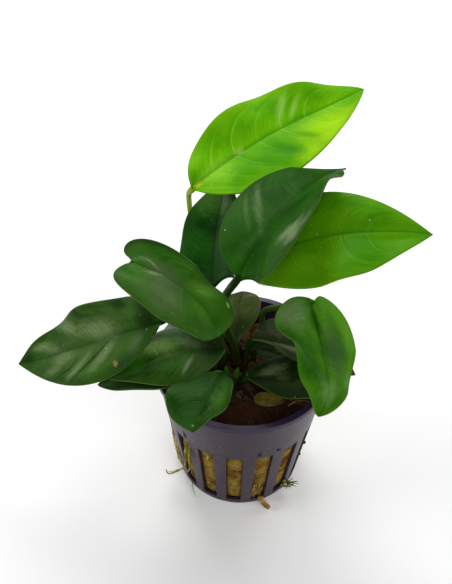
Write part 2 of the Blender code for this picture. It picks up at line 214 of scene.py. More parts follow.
def add_piece(name, shape, materials, slot_name, replaced=()):
    """Finish a bmesh in millimetres as a piece that rides on the root body."""
    bmesh.ops.scale(shape, vec=(MM, MM, MM), verts=shape.verts)
    mesh = bpy.data.meshes.new(name)
    shape.to_mesh(mesh)
    shape.free()
    mesh.shade_smooth()
    item = bpy.data.objects.new(name, mesh)
    bpy.context.scene.collection.objects.link(item)
    for finish in materials:
        mesh.materials.append(finish)
    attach(item, "root")
    if replaced:
        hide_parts(*replaced)
    return item


def group_tree(name, inputs, outputs):
    """A shader node group with named sockets: the group, its input node and its output node."""
    tree = bpy.data.node_groups.new(name, "ShaderNodeTree")
    for label, value in inputs.items():
        kind = "NodeSocketVector" if isinstance(value, tuple) else "NodeSocketFloat"
        tree.interface.new_socket(label, in_out="INPUT", socket_type=kind).default_value = value
    for label in outputs:
        tree.interface.new_socket(label, in_out="OUTPUT", socket_type="NodeSocketFloat")
    return tree, tree.nodes.new("NodeGroupInput"), tree.nodes.new("NodeGroupOutput")


def use_group(tree, group, **inputs):
    """Place a node group in a material; underscores in a name stand for spaces."""
    made = tree.nodes.new("ShaderNodeGroup")
    made.node_tree = group
    for key, value in inputs.items():
        feed(tree, value, made.inputs[key.replace("_", " ")])
    return made.outputs


def calc(tree, operation, *values):
    made = tree.nodes.new("ShaderNodeMath")
    made.operation = operation
    for socket, value in zip(made.inputs, values):
        feed(tree, value, socket)
    return made.outputs[0]


def ramp(tree, value, low, high, start=0.0, end=1.0):
    """A smooth step of a value between low and high."""
    made = add_node(tree, "ShaderNodeMapRange", interpolation_type="SMOOTHSTEP")
    for socket, given in zip(made.inputs, (value, low, high, start, end)):
        feed(tree, given, socket)
    return made.outputs[0]


def blend(tree, mask, under, over):
    made = tree.nodes.new("ShaderNodeMix")
    made.data_type = "RGBA"
    feed(tree, mask, made.inputs[0])
    feed(tree, under, made.inputs[6])
    feed(tree, over, made.inputs[7])
    return made.outputs[2]


def glaze(tree, base, mask, share, colour):
    """Lay a colour over the base where the mask is, at a share of its strength."""
    return blend(tree, calc(tree, "MULTIPLY", mask, share), base, colour)


def bump(tree, height, strength, depth):
    values = {"Strength": strength, "Distance": depth * MM, "Height": height}
    return add_node(tree, "ShaderNodeBump", values).outputs[0]


def vector_math(tree, operation, first, second):
    return add_node(tree, "ShaderNodeVectorMath", {0: first, 1: second}, operation=operation).outputs[0]


def parts_of(tree, place):
    return add_node(tree, "ShaderNodeSeparateXYZ", {0: place}).outputs


def mottle(tree, place, scale, detail):
    values = {"Vector": place, "Scale": scale, "Detail": detail}
    return add_node(tree, "ShaderNodeTexNoise", values).outputs[0]


def object_position(tree):
    """Object coordinates in millimetres."""
    place = add_node(tree, "ShaderNodeTexCoord").outputs["Object"]
    return vector_math(tree, "MULTIPLY", place, (1 / MM,) * 3)


# Uneven patches: noise pushed to a soft mask
patches, patches_in, patches_out = group_tree(
    "uneven_patches", {"Place": (0.0, 0.0, 0.0), "Scale": 1.0, "Low": 0.4, "High": 0.6}, ["Mask"])
patch_noise = mottle(patches, patches_in.outputs["Place"], patches_in.outputs["Scale"], 4.0)
patch_mask = ramp(patches, patch_noise, patches_in.outputs["Low"], patches_in.outputs["High"])
patches.links.new(patch_mask, patches_out.inputs[0])

# Specks: small round dots, only in some of the cells of a scattered pattern
specks, specks_in, specks_out = group_tree(
    "specks", {"Place": (0.0, 0.0, 0.0), "Scale": 1.0, "Size": 0.2, "Share": 0.2}, ["Mask"])
speck_cells = add_node(specks, "ShaderNodeTexVoronoi",
                       {"Vector": specks_in.outputs["Place"], "Scale": specks_in.outputs["Scale"]})
speck_choice = add_node(specks, "ShaderNodeSeparateColor", {0: speck_cells.outputs["Color"]})
speck_chosen = calc(specks, "LESS_THAN", speck_choice.outputs[0], specks_in.outputs["Share"])
speck_size = calc(specks, "MULTIPLY", speck_choice.outputs[1], specks_in.outputs["Size"])
speck_dot = calc(specks, "LESS_THAN", speck_cells.outputs["Distance"], speck_size)
specks.links.new(calc(specks, "MULTIPLY", speck_dot, speck_chosen), specks_out.inputs[0])


def pot_finish():
    """Satin moulded plastic with faint scuffs, dried water marks and brown specks low on the band."""
    made, tree, shader = new_material("violet_plastic")
    place = object_position(tree)
    height = parts_of(tree, place)[2]
    cloudy = use_group(tree, patches, Place=place, Scale=0.16, Low=0.35, High=0.7)[0]
    scuffed = use_group(tree, patches, Place=place, Scale=1.4, Low=0.45, High=0.75)[0]
    base = blend(tree, cloudy, shade(44, 29, 48), shade(53, 38, 51))
    dusty_band = calc(tree, "MULTIPLY", scuffed, ramp(tree, height, 24.0, 36.0, 0.25, 0.5))
    base = blend(tree, dusty_band, base, shade(70, 58, 62))
    near_rim = ramp(tree, height, 42.2, 43.0)
    base = blend(tree, near_rim, base, shade(50, 36, 60))
    dirt = use_group(tree, specks, Place=place, Scale=0.9, Size=0.42, Share=0.12)[0]
    dirt = calc(tree, "MULTIPLY", dirt, ramp(tree, height, 37.0, 30.0, 0.0, 0.7))
    base = blend(tree, dirt, base, shade(104, 84, 60))
    splash_inputs = {0: place, 1: (-9.5, -19.5, 31.5)}
    splash = add_node(tree, "ShaderNodeVectorMath", splash_inputs, operation="DISTANCE")
    splash = ramp(tree, splash.outputs["Value"], 2.0, 8.5, 1.0, 0.0)
    spray = use_group(tree, specks, Place=place, Scale=1.5, Size=0.4, Share=0.4)[0]
    base = glaze(tree, base, spray, splash, shade(140, 112, 70))
    feed(tree, base, shader.inputs["Base Color"])
    feed(tree, ramp(tree, scuffed, 0.0, 1.0, 0.34, 0.5), shader.inputs["Roughness"])
    shader.inputs["Specular IOR Level"].default_value = 0.28
    grain = mottle(tree, place, 3.0, 3.0)
    feed(tree, bump(tree, grain, 0.35, 0.06), shader.inputs["Normal"])
    return made


lip_under = POT_HEIGHT - RIM_DEPTH
pot_outside = [(0, 0), (FLOOR_SLOT_INNER, 0), (FLOOR_SLOT_OUTER, 0), (BASE_RADIUS, 0)]
pot_outside += [(wall_radius(z), z) for z in (SLOT_BOTTOM, SLOT_TOP, NOTCH_BOTTOM, NOTCH_TOP, lip_under)]
pot_outside += [(RIM_RADIUS, lip_under + RIM_OVERHANG / 2), (RIM_RADIUS, POT_HEIGHT)]
pot_inside = [(RIM_RADIUS - RIM_OVERHANG - WALL, POT_HEIGHT)]
pot_inside += [(wall_radius(z) - WALL, z) for z in (lip_under, SLOT_TOP, SLOT_BOTTOM, WALL)]
pot_inside += [(FLOOR_SLOT_OUTER, WALL), (FLOOR_SLOT_INNER, WALL), (0, WALL)]
pot_shape = spin_profile(pot_outside + pot_inside, SLOT_TURN - POT_STEP * SLOT_STEPS / 2, POT_STEPS)


def opening_of(place):
    """Which slot this point lies in, as (number, part of the pot), or None."""
    radius = math.hypot(place.x, place.y)
    number = slot_at(azimuth_of(place))
    if number is None:
        return None
    if SLOT_BOTTOM - 0.01 <= place.z <= SLOT_TOP + 0.01 and radius > wall_radius(place.z) - WALL - 0.2:
        return number, "wall"
    if place.z < WALL + 0.1 and FLOOR_SLOT_INNER - 0.1 <= radius <= FLOOR_SLOT_OUTER + 0.1:
        return number, "floor"
    return None


slot_faces = [face for face in pot_shape.faces if opening_of(face.calc_center_median())]
bmesh.ops.delete(pot_shape, geom=slot_faces, context="FACES")


def rim_loops(shape):
    """The open loops of a shape, each as its list of edges."""
    waiting = {edge for edge in shape.edges if edge.is_boundary}
    while waiting:
        loop, ends = [], [waiting.pop()]
        while ends:
            edge = ends.pop()
            loop.append(edge)
            found = {near for vert in edge.verts for near in vert.link_edges if near in waiting}
            waiting -= found
            ends.extend(found)
        yield loop


slot_rims = {}
for loop in rim_loops(pot_shape):
    middle = sum((vert.co for edge in loop for vert in edge.verts), Vector()) / (2 * len(loop))
    key = (slot_at(azimuth_of(middle)), middle.z > SLOT_BOTTOM)
    slot_rims.setdefault(key, []).extend(loop)
for pair in slot_rims.values():
    bmesh.ops.bridge_loops(pot_shape, edges=pair)

# The notches: short grooves pressed into the wall above some of the slots
for face in [f for f in pot_shape.faces if NOTCH_BOTTOM < f.calc_center_median().z < NOTCH_TOP]:
    away = (azimuth_of(face.calc_center_median()) - NOTCH_TURN + POT_STEP / 2) % (FULL_TURN / NOTCH_COUNT)
    outside = face.calc_center_median().xy.length > wall_radius(NOTCH_BOTTOM) - WALL / 2
    if outside and away < POT_STEP:
        bmesh.ops.inset_individual(pot_shape, faces=[face], thickness=0.15, depth=-0.4)
bmesh.ops.recalc_face_normals(pot_shape, faces=pot_shape.faces)
pot = add_piece("pot", pot_shape, [pot_finish()], "pot_plastic", ["net_pot"])
pot_edges = pot.modifiers.new("soft_edges", "BEVEL")
pot_edges.width = 0.22 * MM
pot_edges.segments = 2
pot_edges.limit_method = "ANGLE"
pot_edges.angle_limit = math.radians(35)
pot.data.set_sharp_from_angle(angle=math.radians(35))


# ---- Rock wool ----
# A plug of spun stone fibre fills the pot and is a little higher in the middle. It is golden where
# light reaches it through the slots. On top it is dark, partly with wet and algae and partly with
# painted shade from the leaves above. It swells into the slots, and loose fibres stand off it.

WOOL_EDGE_HEIGHT = 34.0
WOOL_CROWN_HEIGHT = 39.2
WOOL_BOTTOM = 1.5
WOOL_SIDE_GAP = 1.5
WOOL_STEPS = 208
WOOL_TOP_RINGS = 14
WOOL_SIDE_ROWS = 34
FIBRE_COUNT = 2600
TOP_FIBRE_COUNT = 900
BULGES = {13: 1.0, 12: 1.5}           # slots on the left, where the wool is pushed out


def wool_edge(height):
    return wall_radius(height) - WOOL_SIDE_GAP


def wool_swell(azimuth, height):
    """How far the wool stands out from its plain side: outwards in a slot, pressed in behind a rib."""
    inside = min(height - SLOT_BOTTOM, SLOT_TOP - height)
    number = slot_at(azimuth)
    if number is None or inside < 0.8:
        return -0.25
    first_edge = SLOT_TURN - POT_STEP * SLOT_STEPS / 2
    across = ((azimuth - first_edge) % (FULL_TURN / SLOT_COUNT)) / (POT_STEP * SLOT_STEPS)
    crown = math.sin(math.pi * across) ** 0.5 * min(1.0, inside / 2.5)
    low_down = 1.0 - 0.5 * height / SLOT_TOP
    return crown * (0.55 + BULGES.get(number, 0.0) * low_down)


def wool_top(radius):
    """Height of the wool's top at a distance from the middle."""
    share = min(radius / wool_edge(WOOL_EDGE_HEIGHT), 1.0)
    return WOOL_CROWN_HEIGHT - (WOOL_CROWN_HEIGHT - WOOL_EDGE_HEIGHT) * share ** 2


def wool_finish(name, light, dark, top):
    """Matted stone fibre: golden with darker patches, and near black on top, with wet and with painted
    shade.
    """
    made, tree, shader = new_material(name)
    place = object_position(tree)
    height = parts_of(tree, place)[2]
    squashed = vector_math(tree, "MULTIPLY", place, (1.0, 1.0, 1.6))
    stained = use_group(tree, patches, Place=squashed, Scale=0.16, Low=0.44, High=0.62)[0]
    tufted = use_group(tree, patches, Place=squashed, Scale=1.1, Low=0.38, High=0.66)[0]
    base = blend(tree, tufted, light, tuple(0.62 * c for c in light))
    base = blend(tree, stained, base, dark)
    # Dark top colour: wet and algae, and painted shade from the leaves above
    base = blend(tree, ramp(tree, height, 31.0, 34.0), base, top)
    mossy = use_group(tree, patches, Place=place, Scale=0.35, Low=0.6, High=0.72)[0]
    base = glaze(tree, base, mossy, 0.35, shade(78, 84, 18))
    feed(tree, base, shader.inputs["Base Color"])
    set_gloss(shader, 0.9, 0.15)
    matted = mottle(tree, squashed, 2.6, 5.0)
    feed(tree, bump(tree, matted, 0.8, 0.4), shader.inputs["Normal"])
    return made


wool_side = wool_finish("golden_wool", shade(168, 136, 54), shade(104, 66, 22), shade(58, 30, 16))
top_radii = [wool_edge(WOOL_EDGE_HEIGHT) * ring / WOOL_TOP_RINGS for ring in range(WOOL_TOP_RINGS)]
wool_profile = [(radius, wool_top(radius)) for radius in top_radii]
for row in range(WOOL_SIDE_ROWS + 1):
    height = WOOL_EDGE_HEIGHT + (WOOL_BOTTOM - WOOL_EDGE_HEIGHT) * row / WOOL_SIDE_ROWS
    wool_profile.append((wool_edge(height), height))
wool_profile += [(10, WOOL_BOTTOM), (0, WOOL_BOTTOM)]
wool_shape = spin_profile(wool_profile, 0.0, WOOL_STEPS)
for vert in wool_shape.verts:
    place = vert.co.copy()
    radius = place.xy.length
    if place.z < WOOL_BOTTOM + 0.1 or radius < 0.01:
        continue
    lumpy = noise.fractal(place * 0.28, 1.0, 2.0, 3) + 0.35 * noise.noise(place * 1.3)
    if radius < wool_edge(WOOL_EDGE_HEIGHT) - 0.5 and place.z > WOOL_EDGE_HEIGHT:
        vert.co.z += 1.1 * lumpy - 0.3
    else:
        swell = wool_swell(azimuth_of(place), place.z) + min(0.0, 0.5 * lumpy)
        vert.co.xy *= (radius + swell) / radius
add_piece("wool_plug", wool_shape, [wool_side], "rock_wool", ["rock_wool"])


def strand_curve(name, strands, thickness, finish, sides=0):
    """Many fine strands as one curve; each strand is a list of points, thinning to its tip."""
    curve = bpy.data.curves.new(name, "CURVE")
    curve.dimensions = "3D"
    curve.bevel_depth = thickness * MM
    curve.bevel_resolution = sides
    for points in strands:
        spline = curve.splines.new("POLY")
        spline.points.add(len(points) - 1)
        for index, point in enumerate(points):
            spline.points[index].co = (*(Vector(point) * MM), 1)
            spline.points[index].radius = 1 - 0.6 * index / (len(points) - 1)
    curve.materials.append(finish)
    item = bpy.data.objects.new(name, curve)
    bpy.context.scene.collection.objects.link(item)
    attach(item, "root")
    return item


def side_fibre(chance):
    """A loose fibre lying across a slot's wool, with a slow curl."""
    number = chance.randrange(SLOT_COUNT)
    middle = SLOT_TURN + number * FULL_TURN / SLOT_COUNT
    azimuth = middle + chance.uniform(-0.5, 0.5) * POT_STEP * SLOT_STEPS
    height = chance.uniform(SLOT_BOTTOM + 0.6, SLOT_TOP - 0.6)
    heading = chance.gauss(0, 0.7)
    curl = chance.uniform(-0.5, 0.5)
    step = chance.uniform(0.35, 0.8)
    points = []
    for index in range(5):
        lift = 0.05 + 0.16 * math.sin(math.pi * index / 4) + chance.uniform(0, 0.12)
        out = wool_edge(height) + max(wool_swell(azimuth, height), 0.0) + lift
        points.append(around(out, azimuth, height))
        azimuth += step * math.cos(heading) / out
        height = min(max(height + step * math.sin(heading), SLOT_BOTTOM), SLOT_TOP)
        azimuth = min(max(azimuth, middle - 1.9 * POT_STEP), middle + 1.9 * POT_STEP)
        heading += curl
    return points


def top_fibre(chance):
    """A tangle of fibres and dead rootlets on top of the wool."""
    radius = wool_edge(WOOL_EDGE_HEIGHT) * chance.uniform(0.1, 0.97)
    place = around(radius, chance.uniform(0, FULL_TURN), 0)
    heading = chance.uniform(0, FULL_TURN)
    curl = chance.uniform(-0.6, 0.6)
    step = chance.uniform(0.4, 1.0)
    rise = chance.uniform(0.1, 0.9)
    points = []
    for index in range(5):
        radius = place.xy.length
        if radius > wool_edge(WOOL_EDGE_HEIGHT) - 0.3:
            place.xy *= (wool_edge(WOOL_EDGE_HEIGHT) - 0.3) / radius
        height = wool_top(place.xy.length) + rise * math.sin(math.pi * index / 4)
        points.append(Vector((place.x, place.y, height)))
        place += Vector((math.cos(heading), math.sin(heading), 0)) * step
        heading += curl
    return points


fibre_chance = random.Random(7)
fibre_light = wool_finish("fibre_gold", shade(196, 166, 82), shade(136, 96, 38), shade(66, 42, 24))
side_fibres = [side_fibre(fibre_chance) for _ in range(FIBRE_COUNT)]
top_fibres = [top_fibre(fibre_chance) for _ in range(TOP_FIBRE_COUNT)]
strand_curve("wool_fibres", side_fibres, 0.07, fibre_light)
strand_curve("wool_top_fibres", top_fibres, 0.10, fibre_light)


# ---- Rhizome ----
# One thick creeping stem lies on the wool, brown and woody, ringed with the scars of old leaves.
# It thins at the old end in front, and rises at the growing end behind.

RHIZOME_RADIUS = 3.4
RHIZOME_LINE = [
    (-2.6, -12.5, 40.6), (-2.4, -8.0, 42.0), (-2.0, -3.0, 43.4), (-1.6, 2.0, 45.0), (-1.2, 6.6, 46.8),
]
RHIZOME_SWELL = [0.62, 0.95, 1.0, 0.98, 0.66]
RHIZOME_ROWS = 110
SCAR_COUNT = 13


def smooth_line(points, count):
    """Points of a smooth curve through the given ones (Catmull-Rom)."""
    ends = [Vector(points[0]) * 2 - Vector(points[1])]
    ends += [Vector(point) for point in points]
    ends.append(Vector(points[-1]) * 2 - Vector(points[-2]))
    result = []
    spans = len(points) - 1
    for index in range(count):
        place = index / (count - 1) * spans
        span = min(int(place), spans - 1)
        t = place - span
        a, b, c, d = ends[span:span + 4]
        result.append(0.5 * (2 * b + (c - a) * t + (2 * a - 5 * b + 4 * c - d) * t ** 2
                             + (3 * b - a - 3 * c + d) * t ** 3))
    return result


def tube_shape(route, radius_at, sides=16):
    """A grid rolled into a tube along a route. radius_at(share, turn) gives its radius.

    Its UV map "skin" runs once along the tube and once round it, and its ends are closed.
    """
    rows = len(route) - 1
    shape = bmesh.new()
    skin = shape.loops.layers.uv.new("skin")
    bmesh.ops.create_grid(shape, x_segments=rows, y_segments=sides, size=1.0)
    for face in shape.faces:
        for loop in face.loops:
            loop[skin].uv = ((loop.vert.co.x + 1) / 2, (loop.vert.co.y + 1) / 2)
    frames = []
    up = Vector((0.13, 0.05, 0.99)).normalized()
    for index in range(rows + 1):
        ahead = route[min(index + 1, rows)] - route[max(index - 1, 0)]
        ahead.normalize()
        side = up.cross(ahead)
        if side.length < 0.2:
            side = Vector((1, 0, 0)).cross(ahead)
        side.normalize()
        up = ahead.cross(side)
        frames.append((side, up.copy()))
    for vert in shape.verts:
        row = round((vert.co.x + 1) / 2 * rows)
        turn = (vert.co.y + 1) * math.pi
        side, over = frames[row]
        radius = radius_at(row / rows, turn)
        vert.co = route[row] + (side * math.cos(turn) + over * math.sin(turn)) * radius
    bmesh.ops.remove_doubles(shape, verts=shape.verts, dist=0.0005)
    bmesh.ops.holes_fill(shape, edges=[edge for edge in shape.edges if edge.is_boundary], sides=0)
    bmesh.ops.recalc_face_normals(shape, faces=shape.faces)
    return shape


def rhizome_point(share):
    place = share * (len(RHIZOME_LINE) - 1)
    span = min(int(place), len(RHIZOME_LINE) - 2)
    return Vector(RHIZOME_LINE[span]).lerp(Vector(RHIZOME_LINE[span + 1]), place - span)


def rhizome_radius(share, turn):
    """Round-ended, swelling in the middle, with a raised rim at each leaf scar and bumps between."""
    place = share * (len(RHIZOME_SWELL) - 1)
    span = min(int(place), len(RHIZOME_SWELL) - 2)
    swell = RHIZOME_SWELL[span] + (RHIZOME_SWELL[span + 1] - RHIZOME_SWELL[span]) * (place - span)
    round_end = min(1.0, (share / 0.05) ** 0.5, ((1 - share) / 0.05) ** 0.5)
    slant = share + 0.02 * math.sin(turn)
    ring = max(0.0, math.cos(FULL_TURN * SCAR_COUNT * slant)) ** 6
    knobs = noise.noise(Vector((share * 16, math.cos(turn) * 1.6, math.sin(turn) * 1.6)))
    return round_end * (RHIZOME_RADIUS * swell * (0.93 + 0.05 * knobs) + 0.22 * ring) + 0.02


def uv_place(tree, name):
    return add_node(tree, "ShaderNodeUVMap", uv_map=name).outputs[0]


def bark_finish():
    """Brown corky skin, darker between the rings, with a little green where light reaches it."""
    made, tree, shader = new_material("rhizome_bark")
    place = object_position(tree)
    along = uv_place(tree, "skin")
    share = parts_of(tree, along)[0]
    ring = calc(tree, "COSINE", calc(tree, "MULTIPLY", share, FULL_TURN * SCAR_COUNT))
    base = blend(tree, ramp(tree, ring, -0.4, 1.0), shade(44, 26, 12), shade(86, 60, 34))
    blotchy = use_group(tree, patches, Place=place, Scale=0.5, Low=0.42, High=0.62)[0]
    base = blend(tree, blotchy, base, shade(30, 16, 8))
    green = use_group(tree, patches, Place=place, Scale=0.3, Low=0.52, High=0.66)[0]
    base = glaze(tree, base, green, 0.4, shade(64, 66, 22))
    feed(tree, base, shader.inputs["Base Color"])
    set_gloss(shader, 0.72, 0.25)
    rough = mottle(tree, place, 2.2, 5.0)
    feed(tree, bump(tree, rough, 0.7, 0.25), shader.inputs["Normal"])
    return made


bark = bark_finish()
rhizome_route = [rhizome_point(row / RHIZOME_ROWS) for row in range(RHIZOME_ROWS + 1)]
add_piece("rhizome_stem", tube_shape(rhizome_route, rhizome_radius, 40), [bark], "rhizome", ["rhizome"])


# ---- Leaves ----
# Each leaf is a leathery blade on a round stalk that grows from the rhizome. The blade folds
# along its sunken midrib, side veins curve from that to the margin, and it puffs between them.
# The stalk runs on under the blade as a keel. Young leaves are bright, and old ones dark.

PLAIN_LEAF = {
    "length": 40.0, "left": 11.0, "right": 11.0,           # midrib length, half widths
    "heading": 0.0, "rise": 0.0, "roll": 0.0,              # which way the blade points at its base
    "droop": 20.0, "swing": 0.0, "curl": 0.0,              # bend down, sideways, and more at the tip
    "fold": 14.0, "twist": 0.0, "camber": 0.1,             # V fold, twist along the blade, arching halves
    "base_left": 0.6, "tip_left": 0.85,                    # how blunt each end is, per side
    "base_right": 0.6, "tip_right": 0.85,
    "lobe_left": 0.04, "lobe_right": 0.04,                 # how far the heart-shaped base runs back
    "ruffle_left": 0.0, "ruffle_right": 0.0,               # height of the wavy margin, per side
    "ruffle_start_left": 0.0, "ruffle_start_right": 0.0,
    "ruffles": 2.0,
    "veins": 7.4, "puff": 0.05,                            # side veins, and the height between them
    "groove": 0.26, "dents": 0.7,                          # depth of the midrib's groove, of slow dents
    "point": 0.001, "calming": 0.7,                        # share in a drip tip, how ruffles die out
}

LEAVES = {
    "leaf_top": {
        "base": (-15, 27, 83), "length": 57.9, "dents": 0.45, "left": 13, "right": 16,
        "heading": 44, "rise": 16, "roll": 13, "droop": 2, "swing": -24, "curl": -20, "twist": -4,
        "base_left": 0.75, "lobe_right": 0, "puff": 0.11,
        "ruffle_left": 1.2, "ruffle_start_left": 90, "ruffles": 2.75,
        "root": (0.99, 178),
        "bow": [(-12, 14, 50), (-14.5, 29, 58), (-16.2, 36.5, 67), (-16.4, 34, 75.5)],
    },
    "leaf_dark_upright": {
        "base": (-2.5, -16, 91), "length": 50.5, "left": 14.3, "right": 13.7,
        "heading": 64, "rise": 24, "roll": -25, "droop": 48, "swing": 3, "curl": -6,
        "fold": 26, "twist": -1, "camber": 0.19,
        "base_left": 0.8, "tip_left": 0.8, "tip_right": 0.85, "lobe_left": 0.04, "lobe_right": 0.22,
        "base_right": 0.4, "point": 0.2, "calming": 2.2,
        "ruffle_right": 1.35, "ruffle_start_right": 313,
        "ruffles": 2.46,
        "root": (0.5, 95), "bow": [(-3, -4.4, 55), (-6.3, -5.5, 70)],
    },
    "leaf_right": {
        "base": (1, -0.5, 82), "length": 46.5, "left": 13.5, "right": 14.5,
        "heading": -10, "rise": 43, "roll": 7, "droop": 36, "swing": -12,
        "fold": 16, "twist": 20, "camber": 0.2,
        "base_left": 0.45, "tip_left": 1.05, "base_right": 0.75, "tip_right": 1.0, "lobe_right": 0.08,
        "ruffle_right": 0.8, "ruffle_start_right": 190, "ruffles": 3.0,
        "root": (0.62, 90), "bow": [(-3, -2.2, 54.5), (-6.5, -0.8, 67)],
    },
    "leaf_upper_left": {
        "base": (-9, 2.5, 70), "length": 42.5, "left": 11.5, "right": 12,
        "heading": 91, "rise": 16, "roll": -48, "droop": 16, "swing": -4, "curl": -5, "camber": -0.05,
        "tip_left": 0.9, "base_right": 0.3, "tip_right": 1.05, "lobe_right": 0.25,
        "ruffle_left": 0.6, "ruffle_start_left": 310, "ruffle_right": 1.4, "ruffle_start_right": 210,
        "ruffles": 2.25,
        "root": (1.0, 135), "bow": [(-9.2, 9, 54), (-9.6, 4, 62)],
    },
    "leaf_heart": {
        "base": (-28, -8.5, 88), "length": 30, "left": 7, "right": 13,
        "heading": -25, "rise": 4, "roll": -5, "droop": 46, "swing": -10, "curl": 65,
        "fold": 28, "twist": 12, "camber": 0.35,
        "tip_left": 0.6, "tip_right": 0.75, "lobe_left": 0.34, "lobe_right": 0.16, "groove": 0.08,
        "ruffle_left": 2.0, "ruffle_start_left": 200,
        "root": (0.9, 152), "bow": [(-10.6, 5.2, 55.5), (-18, 1, 70), (-24, -5.5, 79)],
    },
    "leaf_left": {
        "base": (-22, -3, 62), "length": 48, "left": 11.5, "right": 11.5,
        "heading": 181, "rise": -25, "roll": -28, "droop": 18, "swing": -6, "curl": -20, "camber": 0.2,
        "base_left": 0.8, "tip_left": 1.0, "lobe_left": 0, "ruffle_right": 1.6, "ruffles": 2.5,
        "root": (0.74, 168), "bow": [(-10, 5.4, 51.3), (-16.5, 5.4, 59.2)],
    },
    "leaf_lower_left": {
        "base": (-5, -5, 54), "length": 33, "left": 10.5, "right": 13.5,
        "heading": 178, "rise": 3, "roll": 7, "droop": 44, "swing": 18, "curl": -30,
        "fold": 8, "camber": 0.3, "tip_left": 1.0,
        "ruffle_left": 0.8, "ruffle_start_left": 50, "ruffles": 1.25,
        "root": (0.45, 150), "bow": [(-5.5, -5.1, 49.5)],
    },
    "leaf_under_left": {
        "base": (-10.5, -5.5, 48), "length": 30, "left": 7.5, "right": 8,
        "heading": 187, "rise": -4, "roll": 4, "droop": 14, "swing": -2,
        "fold": 12, "camber": 0.05, "ruffle_left": 0.4,
        "root": (0.34, 168), "bow": [(-8, -5.4, 46)],
    },
    "leaf_front": {
        "base": (-5.5, -16.5, 57.5), "length": 19.5, "left": 6.5, "right": 10.5,
        "heading": 242, "rise": 4, "roll": 20, "droop": 16, "swing": 10,
        "fold": 6, "twist": -6, "camber": 0.05,
        "base_right": 0.75, "tip_right": 0.75, "lobe_left": 0,
        "ruffle_left": 0.8, "ruffle_start_left": 270, "ruffle_right": 1.4, "ruffle_start_right": 130,
        "ruffles": 1.75,
        "root": (0.12, 100), "bow": [(-2.8, -13.6, 52)],
    },
    "leaf_big_right": {
        "base": (16.5, -5, 72), "length": 32.5, "left": 8, "right": 14,
        "heading": -77, "rise": -24, "roll": -26, "droop": -30, "swing": -30, "curl": 85,
        "fold": 26, "twist": 12, "camber": 0.25,
        "base_left": 0.95, "tip_left": 1.1, "base_right": 0.3, "tip_right": 0.75,
        "lobe_left": 0.26, "lobe_right": 0.08,
        "ruffle_left": 2.2, "ruffle_start_left": 160, "ruffle_right": 2.4, "ruffle_start_right": 70,
        "root": (0.66, 60), "bow": [(4.8, 2.8, 53), (5.0, 4.0, 59.5), (9.4, -0.4, 66.2)],
    },
    "leaf_olive": {
        "base": (-2, -0.5, 52), "length": 19, "left": 6.5, "right": 6.5,
        "heading": 90, "rise": 19, "roll": -8, "droop": 32, "swing": -6, "fold": 16, "camber": 0,
        "base_right": 0.8, "tip_right": 0.65, "lobe_right": 0,
        "root": (0.72, 85), "bow": [(-1.7, -0.7, 50.4)],
    },
    "leaf_tucked": {
        "base": (2, -2.5, 56), "length": 30, "left": 9, "right": 6,
        "heading": -7, "rise": -1, "roll": -10, "droop": 28, "swing": -4, "fold": 18, "camber": 0,
        "lobe_right": 0, "ruffle_right": 1.4, "ruffles": 1.75,
        "root": (0.48, 60), "bow": [(0.8, -3.6, 51)],
    },
    "leaf_front_right": {
        "base": (1, -11, 50), "length": 26.5, "left": 7.5, "right": 8,
        "heading": 2, "rise": 14, "roll": -7, "droop": 32, "swing": -18, "fold": 10, "camber": 0.2,
        "base_right": 0.75, "lobe_right": 0,
        "ruffle_left": 0.6, "ruffle_start_left": 120, "ruffle_right": 0.4,
        "root": (0.2, 62), "bow": [(-0.6, -10.4, 47)],
    },
    "leaf_inner": {
        "base": (3.5, 2, 47.0), "length": 15, "left": 4.5, "right": 4.5,
        "heading": -22, "rise": 8, "roll": -8, "droop": 20,
        "root": (0.62, 5), "bow": [(3, 0.8, 45.4)],
    },
}
BLADE_ROWS = 150
BLADE_COLUMNS = 52
BLADE_THICKNESS = 0.5
TIP_CALM = 0.22                       # share of the blade over which its fold and ruffles die out
VEIN_LEAN = 0.08
VEIN_BEND = 0.22
LATE_BEND = 0.6                       # share of the blade where its tip starts to curl
STALK_RADIUS = 0.75
STALK_SIDES = 14
STALK_END_GAP = 1.3
KEEL_DEPTH = 0.35
KEEL_SHARES = (0.03, 0.08, 0.14, 0.22, 0.32, 0.44, 0.56, 0.68)


def leaf_direction(leaf, share):
    """Forward, side and upward directions of the blade at each share of its length."""
    late = np.clip(share - LATE_BEND, 0, None) / (1 - LATE_BEND)
    pitch = np.radians(leaf["droop"] * share + leaf["curl"] * late ** 2)
    swing = np.radians(leaf["swing"] * share)
    level = np.cos(pitch)
    forward = np.stack([level * np.cos(swing), level * np.sin(swing), -np.sin(pitch)], -1)
    side = np.stack([-np.sin(swing), np.cos(swing), 0 * swing], -1)
    return forward, side, np.cross(forward, side)


def midrib_point(leaf, share):
    """Distance along the bending midrib, added up in short steps."""
    steps = 16
    point = np.zeros(share.shape + (3,))
    for step in range(steps):
        forward = leaf_direction(leaf, share * (step + 0.5) / steps)[0]
        point += forward * (leaf["length"] * share / steps)[..., None]
    return point


def leaf_turn(leaf):
    heading = Matrix.Rotation(math.radians(leaf["heading"]), 3, "Z")
    rise = Matrix.Rotation(math.radians(-leaf["rise"]), 3, "Y")
    roll = Matrix.Rotation(math.radians(leaf["roll"]), 3, "X")
    return np.array(heading @ rise @ roll)


def by_side(leaf, value, across):
    return np.where(across >= 0, leaf[value + "left"], leaf[value + "right"])


def leaf_flat(leaf, along, across):
    """Distance of each point from the midrib, before the blade folds."""
    blunt_base = by_side(leaf, "base_", across)
    blunt_tip = by_side(leaf, "tip_", across)
    widest = blunt_base / (blunt_base + blunt_tip)
    peak = widest ** blunt_base * (1 - widest) ** blunt_tip
    outline = along ** blunt_base * (1 - along) ** blunt_tip / peak
    drip = np.clip((1 - along) / leaf["point"], 0, 1) ** 0.8
    return np.abs(across) * by_side(leaf, "", across) * outline * drip


